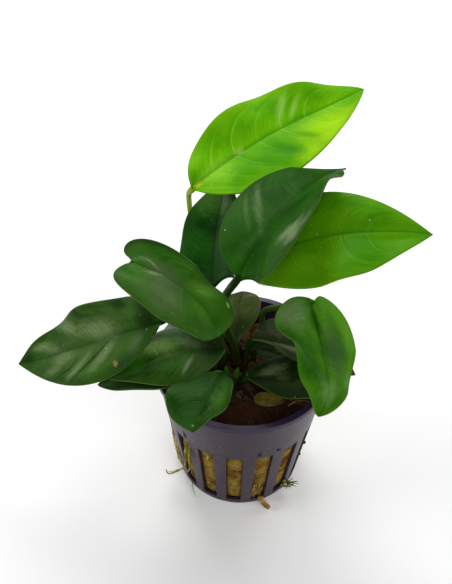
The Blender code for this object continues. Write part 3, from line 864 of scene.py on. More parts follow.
def leaf_relief(leaf, along, across, flat):
    """Height of the midrib's groove, of the puffed skin between side veins, and of slow dents."""
    out = np.abs(across)
    groove = -leaf["groove"] * np.exp(-(flat / (0.8 - 0.5 * along)) ** 2) * (1 - along) ** 0.5
    phase = (along - VEIN_LEAN * out - VEIN_BEND * out ** 3) * leaf["veins"]
    pillow = np.abs(np.sin(math.pi * phase)) ** 0.7 - 0.55
    fade = np.clip(flat / 2.0, 0, 1) * np.clip((1 - out) / 0.25, 0, 1) * np.clip((1 - along) / 0.2, 0, 1)
    seed = leaf["length"]
    dents = [noise.noise(Vector((a * 4.5, b * 1.8, seed))) for a, b in zip(along, across)]
    return groove + leaf["puff"] * pillow * fade + leaf["dents"] * np.array(dents) * fade


def leaf_surface(leaf, along, across, lower=0.0):
    """Places on the blade: along runs from stalk to tip, across from -1 (right margin) to 1 (left)."""
    out = np.abs(across)
    flat = leaf_flat(leaf, along, across)
    back = by_side(leaf, "lobe_", across) * np.sin(math.pi * np.minimum(along / 0.45, 1))
    share = along - back * out ** 1.5
    start = np.radians(by_side(leaf, "ruffle_start_", across))
    wave = np.sin(FULL_TURN * leaf["ruffles"] * along + start)
    calm = np.clip((1 - along) / TIP_CALM, 0, 1)
    fold = np.radians(leaf["fold"]) * (0.4 + 0.6 * calm)
    half_width = max(leaf["left"], leaf["right"])
    lift = flat * np.sin(fold) - leaf["camber"] * flat ** 2 / half_width
    lift += by_side(leaf, "ruffle_", across) * out ** 2 * wave * calm ** leaf["calming"]
    lift += leaf_relief(leaf, along, across, flat) - lower
    sideways = np.sign(across) * flat * np.cos(fold)
    twist = np.radians(leaf["twist"] * share)
    sideways, lift = (sideways * np.cos(twist) - lift * np.sin(twist),
                      sideways * np.sin(twist) + lift * np.cos(twist))
    forward, across_way, up = leaf_direction(leaf, share)
    local = midrib_point(leaf, share) + across_way * sideways[:, None] + up * lift[:, None]
    return np.array(leaf["base"]) + local @ leaf_turn(leaf).T


def add_blade(name, leaf, finishes, slot_name, replaced, rows=BLADE_ROWS, columns=BLADE_COLUMNS,
              thickness=BLADE_THICKNESS):
    """A fine grid laid over the leaf's surface, and given a thickness that thins to the margin.

    Its UV map "blade" holds along and across, and "span" the distances from the midrib and stalk in cm.
    """
    shape = bmesh.new()
    bmesh.ops.create_grid(shape, x_segments=rows, y_segments=columns, size=1.0)
    blade_map = shape.loops.layers.uv.new("blade")
    span_map = shape.loops.layers.uv.new("span")
    fullness = shape.verts.layers.deform.new()
    places = np.array([vert.co for vert in shape.verts], float)
    along = np.clip(((places[:, 0] + 1) / 2) ** 1.25, 0, 1)
    across = np.clip(places[:, 1], -1, 1)
    flat = leaf_flat(leaf, along, across) * np.sign(across)
    shape.verts.index_update()
    for face in shape.faces:
        for loop in face.loops:
            index = loop.vert.index
            loop[blade_map].uv = (along[index], (across[index] + 1) / 2)
            loop[span_map].uv = (along[index] * leaf["length"] / 10, flat[index] / 10)
    surface = leaf_surface(leaf, along, across)
    for vert, place, out, near in zip(shape.verts, surface, np.abs(across), along):
        vert.co = place
        vert[fullness][0] = 1 - 0.55 * max(0.0, (out - 0.8) / 0.2) ** 2
    bmesh.ops.remove_doubles(shape, verts=shape.verts, dist=0.005)
    item = add_piece(name, shape, finishes, slot_name, replaced)
    item.vertex_groups.new(name="fullness")
    solid = item.modifiers.new("thickness", "SOLIDIFY")
    solid.thickness = thickness * MM
    solid.offset = 0
    solid.vertex_group = "fullness"
    solid.thickness_vertex_group = 0.45
    solid.material_offset = 1
    return item


# Vein pattern of a blade, from its two UV maps
veins, veins_in, veins_out = group_tree(
    "leaf_veins",
    {"Blade": (0.0, 0.0, 0.0), "Span": (0.0, 0.0, 0.0), "Count": 7.4},
    ["Side Vein", "Midrib", "Streak", "Veinlet", "Cell", "Margin", "Out"])
vein_uv_place = veins_in.outputs["Blade"]
vein_uv = parts_of(veins, vein_uv_place)
vein_span = parts_of(veins, veins_in.outputs["Span"])
vein_out = calc(veins, "ABSOLUTE", calc(veins, "MULTIPLY_ADD", vein_uv[1], 2.0, -1.0))
vein_cubed = calc(veins, "POWER", vein_out, 3.0)
vein_path = calc(veins, "MULTIPLY_ADD", vein_out, -VEIN_LEAN, vein_uv[0])
vein_path = calc(veins, "MULTIPLY_ADD", vein_cubed, -VEIN_BEND, vein_path)
vein_phase = calc(veins, "MULTIPLY", vein_path, veins_in.outputs["Count"])
vein_gap = calc(veins, "PINGPONG", vein_phase, 0.5)
vein_line = ramp(veins, vein_gap, 0.008, 0.045, 1.0, 0.0)
vein_fade_out = ramp(veins, vein_out, 0.5, 0.92, 1.0, 0.0)
vein_fade = calc(veins, "MULTIPLY", vein_fade_out, ramp(veins, vein_uv[0], 0.7, 0.92, 1.0, 0.0))
vein_wander = mottle(veins, vein_uv_place, 6.0, 2.0)
vein_fade = calc(veins, "MULTIPLY", vein_fade, ramp(veins, vein_wander, 0.3, 0.6, 0.35, 1.0))
veins.links.new(calc(veins, "MULTIPLY", vein_line, vein_fade), veins_out.inputs["Side Vein"])
rib_width = calc(veins, "MULTIPLY_ADD", vein_uv[0], -0.05, 0.085)
rib_distance = calc(veins, "DIVIDE", calc(veins, "ABSOLUTE", vein_span[1]), rib_width)
veins.links.new(ramp(veins, rib_distance, 0.35, 1.0, 1.0, 0.0), veins_out.inputs["Midrib"])
streak_place = add_node(veins, "ShaderNodeCombineXYZ", {0: vein_phase, 1: vein_out})
streak_place = vector_math(veins, "MULTIPLY", streak_place.outputs[0], (3.2, 1.1, 1.0))
streak_noise = mottle(veins, streak_place, 1.0, 4.0)
veins.links.new(ramp(veins, streak_noise, 0.4, 0.68), veins_out.inputs["Streak"])
fine_phase = calc(veins, "MULTIPLY", vein_phase, 11.0)
fine_place = add_node(veins, "ShaderNodeCombineXYZ", {0: fine_phase, 1: vein_out}).outputs[0]
fine_noise = mottle(veins, fine_place, 1.3, 3.0)
veins.links.new(ramp(veins, fine_noise, 0.36, 0.64), veins_out.inputs["Veinlet"])
cell_values = {"Vector": veins_in.outputs["Span"], "Scale": 26.0}
cell_noise = add_node(veins, "ShaderNodeTexVoronoi", cell_values, feature="SMOOTH_F1")
veins.links.new(cell_noise.outputs["Distance"], veins_out.inputs["Cell"])
veins.links.new(ramp(veins, vein_out, 0.972, 0.996), veins_out.inputs["Margin"])
veins.links.new(vein_out, veins_out.inputs["Out"])

# A mark: a soft-edged oval in blade coordinates, broken up by noise
marks, marks_in, marks_out = group_tree(
    "leaf_mark",
    {"Blade": (0.0, 0.0, 0.0), "Middle": (0.0, 0.0, 0.0), "Reach Along": 0.1, "Reach Across": 0.1,
     "Slant": 0.0, "Raggedness": 0.3},
    ["Mask"])
mark_away = vector_math(marks, "SUBTRACT", marks_in.outputs["Blade"], marks_in.outputs["Middle"])
mark_place = parts_of(marks, mark_away)
mark_slip = calc(marks, "MULTIPLY", mark_place[1], marks_in.outputs["Slant"])
mark_slid = calc(marks, "SUBTRACT", mark_place[0], mark_slip)
mark_x = calc(marks, "DIVIDE", mark_slid, marks_in.outputs["Reach Along"])
mark_y = calc(marks, "DIVIDE", mark_place[1], marks_in.outputs["Reach Across"])
mark_squares = [calc(marks, "POWER", part, 2.0) for part in (mark_x, mark_y)]
mark_far = calc(marks, "SQRT", calc(marks, "ADD", *mark_squares))
mark_noise = calc(marks, "SUBTRACT", mottle(marks, marks_in.outputs["Blade"], 22.0, 3.0), 0.5)
mark_rough = calc(marks, "MULTIPLY", mark_noise, marks_in.outputs["Raggedness"])
mark_edge = calc(marks, "MULTIPLY_ADD", mark_rough, 2.0, mark_far)
mark_mask = ramp(marks, mark_edge, 0.1, 1.25, 1.0, 0.0)
marks.links.new(mark_mask, marks_out.inputs[0])

# What each leaf's skin looks like: deep and lit greens, veins, margin, a painted sheen and its marks.
# A mark is (along, across, reach along, reach across, slant, raggedness, strength, colour). Most
# marks are painted light and shade: painted sheen, a painted glow of light, painted shadow, and
# lighter or darker greens where light and shade fall. A few are the leaf's own spots, scratches and dead
# tips.
DARK = {
    "deep": shade(12, 54, 3), "lit": shade(44, 92, 12), "vein": shade(56, 100, 24),
    "rib": shade(10, 40, 4), "margin": shade(80, 112, 42), "edge": shade(30, 66, 8),
    # Painted sheen: a pale grey-green laid in patches along the streaks
    "painted_sheen": shade(98, 116, 72), "painted_sheen_share": 0.12,
    "vein_share": 0.12, "rib_share": 0.4, "gloss": 0.11, "veinlet_share": 0.4,
    "marks": [],
}
LEAF_SHEEN_TINT = (0.75, 1.0, 0.4, 1)
# Colours for marks: a painted sheen, a painted glow of light and a painted shadow
SHEEN = shade(110, 130, 84)
GLOW = shade(66, 108, 26)
SHADOW = shade(6, 34, 1)
LOOKS = {
    "leaf_top": {
        "deep": shade(68, 142, 1), "lit": shade(102, 170, 5), "vein": shade(150, 200, 66),
        "rib": shade(56, 128, 6), "margin": shade(92, 124, 22), "edge": shade(112, 168, 6),
        "painted_sheen": shade(150, 196, 84),
        "painted_sheen_share": 0.03, "vein_share": 0.5, "rib_share": 0.7, "gloss": 0.03,
        # Marks: a painted glow of light towards the tip and the right margin, painted shade on the lower
        # half and in its folds, and paler bands; the yellow at the base and the small dark dot are the
        # leaf's own
        "marks": [
            (0.60, 0.48, 0.030, 0.42, 0.16, 0.30, 0.55, shade(150, 196, 84)),
            (0.655, 0.36, 0.022, 0.32, 0.16, 0.30, 0.5, shade(150, 196, 84)),
            (0.302, 0.05, 0.028, 0.10, 0.0, 0.6, 0.7, shade(150, 178, 84)),
            (0.498, -0.79, 0.008, 0.035, 0.0, 0.2, 0.9, shade(50, 110, 10)),
            (0.42, -0.45, 0.34, 0.60, 0.0, 0.2, 0.5, shade(66, 138, 2)),
            (0.75, -0.66, 0.20, 0.60, -0.1, 0.2, 0.75, shade(158, 208, 12)),
            (0.56, -0.84, 0.09, 0.22, -0.1, 0.2, 0.6, shade(160, 210, 20)),
            (0.49, -0.54, 0.06, 0.40, -0.2, 0.3, 0.75, shade(46, 118, 2)),
            (0.62, -0.50, 0.035, 0.30, -0.2, 0.3, 0.55, shade(52, 124, 2)),
            (0.36, -0.50, 0.05, 0.36, -0.2, 0.3, 0.6, shade(52, 124, 2)),
            (0.45, 0.45, 0.16, 0.30, 0.1, 0.4, 0.4, shade(64, 138, 2)),
            (0.13, -0.1, 0.14, 0.45, 0.0, 0.4, 0.5, shade(132, 190, 48)),
            (0.02, 0.0, 0.035, 0.30, 0.0, 0.2, 0.8, shade(200, 190, 30)),
        ],
    },
    "leaf_dark_upright": {
        "deep": shade(14, 58, 2), "lit": shade(28, 78, 4),
        "vein_share": 0.06, "gloss": 0.04, "painted_sheen_share": 0.06,
        # Marks: painted sheen streaks and a pale grey patch of painted sheen, a painted shadow, and the
        # leaf's own dark brown tip
        "marks": [
            (0.42, 0.50, 0.040, 0.45, 0.36, 0.6, 0.45, SHEEN),
            (0.36, 0.62, 0.025, 0.35, 0.36, 0.6, 0.25, SHEEN),
            (0.35, -0.80, 0.055, 0.20, -0.2, 0.8, 0.5, shade(130, 146, 108)),
            (0.45, -0.45, 0.05, 0.35, -0.2, 0.5, 0.5, SHADOW),
            (0.99, 0.0, 0.03, 0.8, 0.0, 0.3, 0.7, shade(50, 40, 12)),
        ],
    },
    "leaf_right": {
        "deep": shade(56, 124, 2), "lit": shade(84, 146, 6), "vein": shade(104, 164, 30),
        "rib": shade(38, 100, 3),
        "margin": shade(110, 158, 30), "edge": shade(86, 144, 4), "painted_sheen": shade(116, 158, 60),
        "painted_sheen_share": 0.04, "vein_share": 0.34, "rib_share": 0.6, "gloss": 0.07,
        # Marks: lighter and darker greens where light and shade fall, painted shade at the base, and a
        # small dark spot of the leaf's own
        "marks": [
            (0.86, -0.2, 0.16, 0.8, 0.0, 0.2, 0.4, shade(62, 126, 2)),
            (0.40, -0.6, 0.25, 0.3, -0.1, 0.3, 0.4, shade(100, 156, 14)),
            (0.10, 0.1, 0.12, 0.9, 0.0, 0.3, 0.3, shade(38, 104, 2)),
            (0.45, 0.30, 0.25, 0.6, 0.0, 0.4, 0.35, shade(90, 150, 8)),
            (0.30, 0.72, 0.008, 0.03, 0.0, 0.2, 0.9, shade(30, 70, 6)),
        ],
    },
    "leaf_upper_left": {
        "deep": shade(3, 44, 1), "lit": shade(14, 74, 2),
        "vein_share": 0.05, "gloss": 0.05, "painted_sheen_share": 0.03,
        # Marks: a painted lighter green and painted sheen, and painted shade at the base
        "marks": [
            (0.75, 0.35, 0.2, 0.7, 0.0, 0.4, 0.6, shade(62, 112, 20)),
            (0.62, -0.45, 0.14, 0.4, 0.0, 0.4, 0.5, SHEEN),
            (0.12, -0.1, 0.2, 0.9, 0.0, 0.2, 0.7, shade(4, 40, 3)),
        ],
    },
    "leaf_heart": {
        "deep": shade(24, 76, 3), "lit": shade(50, 98, 12), "rib_share": 0.12,
        # Marks: painted sheen and painted highlights on the grey left part, a painted glow of light, and
        # painted shade on the tip and the rolled lobe
        "marks": [
            (0.30, 0.05, 0.22, 0.60, -0.15, 0.4, 0.9, shade(66, 86, 48)),
            (0.46, -0.56, 0.22, 0.50, -0.15, 0.4, 0.9, shade(62, 84, 44)),
            (0.24, -0.10, 0.05, 0.16, 0.3, 0.5, 0.4, shade(130, 146, 108)),
            (0.22, 0.30, 0.03, 0.20, -0.2, 0.5, 0.45, shade(126, 142, 100)),
            (0.60, 0.42, 0.14, 0.40, 0.1, 0.4, 0.75, GLOW),
            (0.86, -0.05, 0.12, 0.6, 0.0, 0.4, 0.6, shade(22, 76, 2)),
            (0.74, -0.60, 0.10, 0.35, 0.0, 0.3, 0.4, SHADOW),
            (0.79, 0.85, 0.02, 0.06, 0.0, 0.4, 0.8, shade(130, 164, 84)),
            (0.30, 0.97, 0.16, 0.12, 0.0, 0.3, 0.7, SHADOW),
        ],
    },
    "leaf_left": {
        "deep": shade(20, 62, 3), "lit": shade(44, 88, 10), "gloss": 0.14, "rib_share": 0.7,
        # Marks: painted sheen in grey bands over much of the blade, painted shadow in dark patches
        # between them, and the leaf's own small tan spot
        "marks": [
            (0.50, 0.0, 0.50, 0.9, 0.0, 0.5, 0.45, shade(66, 88, 46)),
            (0.40, -0.30, 0.13, 0.34, -0.22, 0.4, 0.85, SHEEN),
            (0.60, -0.62, 0.07, 0.36, -0.22, 0.4, 0.8, SHEEN),
            (0.80, -0.45, 0.07, 0.50, -0.22, 0.4, 0.75, SHEEN),
            (0.66, 0.16, 0.10, 0.20, 0.1, 0.4, 0.7, SHEEN),
            (0.38, 0.40, 0.06, 0.40, 0.25, 0.4, 0.8, SHEEN),
            (0.56, 0.56, 0.035, 0.40, 0.25, 0.4, 0.75, SHEEN),
            (0.72, 0.50, 0.05, 0.40, 0.2, 0.4, 0.55, SHEEN),
            (0.16, 0.41, 0.06, 0.40, 0.1, 0.4, 0.6, shade(70, 92, 62)),
            (0.285, -0.84, 0.07, 0.22, -0.2, 0.3, 0.85, SHADOW),
            (0.51, -0.82, 0.03, 0.20, -0.2, 0.3, 0.8, SHADOW),
            (0.47, 0.45, 0.020, 0.45, 0.35, 0.3, 0.9, SHADOW),
            (0.64, 0.60, 0.016, 0.40, 0.30, 0.3, 0.7, SHADOW),
            (0.93, -0.3, 0.06, 0.70, 0.0, 0.3, 0.7, SHADOW),
            (0.08, -0.3, 0.09, 0.80, 0.0, 0.3, 0.75, SHADOW),
            (0.24, 0.80, 0.08, 0.25, 0.0, 0.3, 0.6, shade(22, 50, 30)),
            (0.30, 0.75, 0.016, 0.10, 0.0, 0.8, 0.9, shade(140, 120, 66)),
        ],
    },
    "leaf_lower_left": {
        "deep": shade(14, 50, 3), "lit": shade(40, 82, 10),
        # Marks: a painted highlight and painted sheen, a lighter green patch, and painted shade at the
        # base and on the margin
        "marks": [
            (0.52, -0.30, 0.18, 0.36, -0.2, 0.4, 0.85, shade(84, 120, 42)),
            (0.28, -0.20, 0.10, 0.24, -0.2, 0.4, 0.55, SHEEN),
            (0.78, 0.10, 0.12, 0.50, 0.0, 0.4, 0.5, shade(34, 92, 6)),
            (0.32, 0.55, 0.03, 0.30, 0.2, 0.4, 0.6, shade(108, 124, 90)),
            (0.10, 0.0, 0.20, 1.3, 0.0, 0.2, 0.9, shade(10, 24, 3)),
            (0.66, -0.80, 0.20, 0.20, 0.0, 0.3, 0.6, SHADOW),
        ],
    },
    "leaf_under_left": {"deep": shade(14, 48, 3), "lit": shade(32, 72, 6)},
    "leaf_front": {
        "deep": shade(8, 48, 1), "lit": shade(26, 74, 4), "painted_sheen_share": 0.04,
        # Marks: the leaf's own brown spot and tan scratch, a painted glow of light, and a darker green
        # near the base
        "marks": [
            (0.80, 0.07, 0.035, 0.10, 0.0, 1.0, 0.85, shade(92, 60, 22)),
            (0.915, -0.10, 0.015, 0.10, 0.0, 0.6, 0.8, shade(150, 150, 90)),
            (0.50, 0.60, 0.30, 0.30, 0.0, 0.4, 0.45, GLOW),
            (0.15, -0.4, 0.15, 0.80, 0.0, 0.3, 0.6, shade(12, 50, 3)),
        ],
    },
    "leaf_big_right": {
        "deep": shade(34, 94, 3), "lit": shade(70, 124, 16), "vein": shade(88, 134, 44),
        "edge": shade(60, 122, 8),
        "vein_share": 0.06, "rib_share": 0.25, "gloss": 0.09,
        # Marks: painted sheen on the grey left lobe and the pale lower part, a dull grey-dark patch of
        # painted shade, painted shade at the base and low on the left, and painted light on the bright
        # right margin
        "marks": [
            (0.18, -0.72, 0.18, 0.40, 0.0, 0.4, 0.85, SHEEN),
            (0.44, 0.40, 0.24, 0.38, 0.1, 0.3, 0.85, shade(52, 82, 40)),
            (0.80, 0.10, 0.14, 0.50, 0.0, 0.6, 0.7, shade(104, 146, 74)),
            (0.64, -0.72, 0.13, 0.36, 0.0, 0.4, 0.7, shade(20, 78, 1)),
            (0.45, -0.80, 0.16, 0.30, 0.0, 0.3, 0.75, shade(22, 88, 1)),
            (0.12, 0.0, 0.18, 0.28, 0.0, 0.3, 0.9, shade(20, 68, 2)),
            (0.34, 0.88, 0.26, 0.22, 0.0, 0.3, 0.75, shade(90, 148, 30)),
            (0.62, 0.85, 0.20, 0.12, 0.0, 0.3, 0.6, shade(76, 132, 20)),
        ],
    },
    "leaf_olive": {
        "deep": shade(58, 70, 26), "lit": shade(80, 92, 44), "vein": shade(88, 98, 54),
        "rib": shade(46, 58, 20), "margin": shade(92, 98, 60), "edge": shade(70, 80, 38),
        "painted_sheen": shade(110, 114, 84),
        "painted_sheen_share": 0.2, "vein_share": 0.12,
        "marks": [(0.15, 0.0, 0.30, 1.3, 0.0, 0.3, 0.85, shade(20, 38, 6))],
    },
    "leaf_tucked": {
        # The grey in its greens and its marks is painted sheen: a grey stripe low on the blade and a
        # duller grey patch
        "deep": shade(24, 34, 14), "lit": shade(56, 66, 40), "vein": shade(52, 66, 34),
        "edge": shade(30, 46, 14),
        "marks": [
            (0.34, -0.30, 0.20, 0.35, 0.1, 0.5, 0.9, shade(92, 100, 76)),
            (0.60, 0.40, 0.20, 0.40, 0.1, 0.5, 0.5, shade(64, 76, 46)),
        ],
    },
    "leaf_front_right": {
        # Near-black greens, with marks of painted sheen near the base
        "deep": shade(5, 22, 2), "lit": shade(20, 44, 8), "vein": shade(50, 70, 32),
        "edge": shade(14, 36, 6),
        "marks": [
            (0.26, 0.22, 0.14, 0.40, 0.2, 0.6, 0.8, shade(100, 112, 74)),
            (0.36, -0.10, 0.10, 0.25, 0.1, 0.6, 0.5, shade(84, 98, 60)),
        ],
    },
    # Painted shade: the small leaf deep among the stalks has dark greens
    "leaf_inner": {"deep": shade(12, 32, 5), "lit": shade(40, 60, 22)},
}


def leaf_finish(name, leaf, look):
    """The blade's waxy upper skin, with painted sheen, painted light and painted shade laid into its
    colour.
    """
    made, tree, shader = new_material(name + "_skin")
    blade = uv_place(tree, "blade")
    span = uv_place(tree, "span")
    seeded = vector_math(tree, "ADD", span, (leaf["length"], 3.0, 0.0))
    pattern = use_group(tree, veins, Blade=blade, Span=span, Count=leaf["veins"])
    clouds = use_group(tree, patches, Place=seeded, Scale=1.1, Low=0.35, High=0.65)[0]
    base = blend(tree, clouds, look["deep"], look["lit"])
    base = glaze(tree, base, pattern["Streak"], 0.35, look["lit"])
    base = glaze(tree, base, pattern["Veinlet"], look["veinlet_share"], look["deep"])
    base = blend(tree, ramp(tree, pattern["Out"], 0.7, 1.0, 0.0, 0.5), base, look["edge"])
    base = glaze(tree, base, pattern["Side Vein"], look["vein_share"], look["vein"])
    base = glaze(tree, base, pattern["Midrib"], look["rib_share"], look["rib"])
    # Painted sheen: pale grey-green patches broken into streaks and laid into the colour; the same
    # patches are a little rougher
    sheen_patches = use_group(tree, patches, Place=seeded, Scale=0.9, Low=0.42, High=0.7)[0]
    streaky_painted_sheen = calc(tree, "MULTIPLY", sheen_patches, pattern["Streak"])
    base = glaze(tree, base, streaky_painted_sheen, look["painted_sheen_share"], look["painted_sheen"])
    for along, across, reach_along, reach_across, slant, ragged, strength, colour in look["marks"]:
        middle = (along, (across + 1) / 2, 0.0)
        mask = use_group(tree, marks, Blade=blade, Middle=middle, Reach_Along=reach_along,
                         Reach_Across=reach_across / 2, Slant=2 * slant, Raggedness=ragged)[0]
        # Painted sheen marks fade where the veinlets are
        if colour is SHEEN:
            mask = calc(tree, "MULTIPLY", mask, ramp(tree, pattern["Veinlet"], 0.0, 1.0, 1.0, 0.6))
        base = glaze(tree, base, mask, strength, colour)
    dots = use_group(tree, specks, Place=seeded, Scale=7.0, Size=0.14, Share=0.06)[0]
    base = glaze(tree, base, dots, 0.7, shade(186, 196, 150))
    base = glaze(tree, base, pattern["Margin"], 0.5, look["margin"])
    feed(tree, base, shader.inputs["Base Color"])
    satin = calc(tree, "MULTIPLY_ADD", pattern["Streak"], 0.08, 0.38)
    feed(tree, calc(tree, "MULTIPLY_ADD", sheen_patches, 0.08, satin), shader.inputs["Roughness"])
    shader.inputs["Specular IOR Level"].default_value = look["gloss"]
    shader.inputs["Specular Tint"].default_value = LEAF_SHEEN_TINT
    height = calc(tree, "MULTIPLY", pattern["Streak"], 0.6)
    height = calc(tree, "MULTIPLY_ADD", pattern["Cell"], 0.25, height)
    height = calc(tree, "MULTIPLY_ADD", pattern["Side Vein"], -0.8, height)
    height = calc(tree, "MULTIPLY_ADD", pattern["Veinlet"], -0.4, height)
    feed(tree, bump(tree, height, 0.45, 0.12), shader.inputs["Normal"])
    return made


def underside_finish(name, look):
    """The paler, duller underside, with its veins raised."""
    made, tree, shader = new_material(name + "_underside")
    blade = uv_place(tree, "blade")
    span = uv_place(tree, "span")
    pattern = use_group(tree, veins, Blade=blade, Span=span, Count=PLAIN_LEAF["veins"])
    pale = tuple(0.75 * c + 0.02 for c in look["lit"])
    base = blend(tree, pattern["Streak"], pale, tuple(0.8 * c for c in pale))
    base = glaze(tree, base, pattern["Side Vein"], 0.5, look["vein"])
    base = glaze(tree, base, pattern["Margin"], 0.5, look["margin"])
    feed(tree, base, shader.inputs["Base Color"])
    set_gloss(shader, 0.55, 0.15)
    raised = calc(tree, "ADD", pattern["Side Vein"], pattern["Cell"])
    feed(tree, bump(tree, raised, 0.5, 0.15), shader.inputs["Normal"])
    return made


def stalk_finish(name, upper):
    """Smooth round stalk, brownish low down and turning the leaf's green towards the blade."""
    made, tree, shader = new_material(name)
    skin = uv_place(tree, "skin")
    share = parts_of(tree, skin)[0]
    stretched = vector_math(tree, "MULTIPLY", skin, (3.0, 14.0, 1.0))
    lines = use_group(tree, patches, Place=stretched, Scale=1.0, Low=0.4, High=0.65)[0]
    base = blend(tree, ramp(tree, share, 0.05, 0.34), shade(34, 24, 10), upper)
    base = glaze(tree, base, lines, 0.35, tuple(0.6 * c for c in upper))
    feed(tree, base, shader.inputs["Base Color"])
    set_gloss(shader, 0.5, 0.06)
    shader.inputs["Specular Tint"].default_value = LEAF_SHEEN_TINT
    feed(tree, bump(tree, lines, 0.3, 0.1), shader.inputs["Normal"])
    return made


def add_stalk(name, leaf, finish, replaced):
    """From inside the rhizome, through the bow points, to the blade, and on under it as a keel."""
    share, angle = leaf["root"]
    rhizome_way = (Vector(RHIZOME_LINE[-1]) - Vector(RHIZOME_LINE[0])).normalized()
    sideways = Vector((1, 0, 0))
    upwards = sideways.cross(rhizome_way)
    out = sideways * math.cos(math.radians(angle)) + upwards * math.sin(math.radians(angle))
    start = rhizome_point(share) + out * (RHIZOME_RADIUS - 0.6)
    stem_start = rhizome_point(share) + out * (RHIZOME_RADIUS + 0.3 + STALK_RADIUS)
    base = Vector(leaf["base"])
    arrive = (base - Vector(leaf["bow"][-1])).normalized()
    keel = leaf_surface(leaf, np.array(KEEL_SHARES), np.zeros(len(KEEL_SHARES)), lower=KEEL_DEPTH)
    bow = [start, stem_start, *leaf["bow"], base - arrive * STALK_END_GAP, *[Vector(p) for p in keel]]
    rows = 26 + 4 * len(bow)
    route = smooth_line(bow, rows)
    blade_share = (len(bow) - len(KEEL_SHARES) - 1) / (len(bow) - 1)

    def radius_at(row_share, turn):
        sheath = 0.45 * max(0.0, 1 - row_share / 0.16) ** 1.5
        joint = 0.16 * math.exp(-((row_share - blade_share) / 0.035) ** 2)
        late = max(0.0, (row_share - blade_share) / (1 - blade_share))
        return (STALK_RADIUS + sheath + joint) * (1 - 0.9 * late) ** 0.7 + 0.02

    add_piece(name, tube_shape(route, radius_at, STALK_SIDES), [finish], "stalk", [replaced])


stalk_green = stalk_finish("stalk_green", shade(52, 92, 14))
stalk_bright = stalk_finish("stalk_bright", shade(136, 168, 30))
stalk_dark = stalk_finish("stalk_dark", shade(14, 46, 3))
STALK_FINISHES = {"leaf_top": stalk_bright, "leaf_big_right": stalk_green, "leaf_right": stalk_green}
LEAF_SLOTS = {"leaf_top": "leaf_bright", "leaf_right": "leaf_bright", "leaf_olive": "leaf_olive"}
for name, values in LEAVES.items():
    leaf = {**PLAIN_LEAF, **values}
    look = {**DARK, **LOOKS.get(name, {})}
    skins = [leaf_finish(name, leaf, look), underside_finish(name, look)]
    add_blade(name, leaf, skins, LEAF_SLOTS.get(name, "leaf_dark"), [name + "_blade"])
    add_stalk(name + "_petiole", leaf, STALK_FINISHES.get(name, stalk_dark), name + "_stalk")

OLD_LEAF = {
    "base": (3.2, -10.3, 40.0), "length": 8.5, "left": 2.2, "right": 2.4,
    "heading": -4, "rise": 6, "roll": 6, "droop": 18, "fold": 12, "groove": 0.12, "dents": 0.25,
}
DRY_SHEATH = {
    "base": (-0.8, 4.4, 52.2), "length": 6.0, "left": 0.9, "right": 0.9,
    "heading": 40, "rise": 28, "roll": 30, "droop": 16, "fold": 26, "groove": 0.08, "dents": 0.15,
}


def withered_finish(name, light, dark, spotted):
    """A dead blade gone thin and papery: ribbed along, stained, and spotted with decay."""
    made, tree, shader = new_material(name)
    place = object_position(tree)
    blade = uv_place(tree, "blade")
    ribbed = vector_math(tree, "MULTIPLY", blade, (3.0, 30.0, 1.0))
    ribs = use_group(tree, patches, Place=ribbed, Scale=1.0, Low=0.4, High=0.62)[0]
    stained = use_group(tree, patches, Place=place, Scale=0.55, Low=0.4, High=0.6)[0]
    base = blend(tree, stained, light, dark)
    base = glaze(tree, base, ribs, 0.5, tuple(0.6 * c for c in light))
    decay = use_group(tree, specks, Place=place, Scale=1.3, Size=0.35, Share=0.3)[0]
    base = glaze(tree, base, decay, 0.7, spotted)
    feed(tree, base, shader.inputs["Base Color"])
    set_gloss(shader, 0.7, 0.2)
    feed(tree, bump(tree, ribs, 0.6, 0.12), shader.inputs["Normal"])
    return made


withered = withered_finish("withered_leaf", shade(138, 118, 46), shade(92, 88, 22), shade(70, 44, 16))
papery = withered_finish("papery_sheath", shade(150, 92, 40), shade(92, 50, 20), shade(60, 30, 12))
old_leaf = {**PLAIN_LEAF, **OLD_LEAF}
dry_sheath = {**PLAIN_LEAF, **DRY_SHEATH}
add_blade("old_leaf_blade", old_leaf, [withered, withered], "leaf_old", ["old_leaf"], 60, 24, 0.3)
add_blade("dry_sheath_blade", dry_sheath, [papery, papery], "dry_sheath", ["dry_sheath"], 40, 16, 0.25)
SHEATH_SCRAPS = [                     # base, heading, rise, length
    ((0.3, 1.2, 51.2), 34, 40, 6.4),
    ((-3.4, -1.6, 47.6), 150, 60, 4.4),
    ((1.2, -4.4, 46.4), -30, 36, 4.8),
    ((-4.8, 2.6, 48.4), 200, 50, 4.0),
]
for number, (place, heading, rise, length) in enumerate(SHEATH_SCRAPS):
    scrap = {**dry_sheath, "base": place, "heading": heading, "rise": rise, "length": length, "left": 1.4}
    add_blade("sheath_scrap_" + str(number), scrap, [papery, papery], "dry_sheath", [], 30, 12, 0.2)

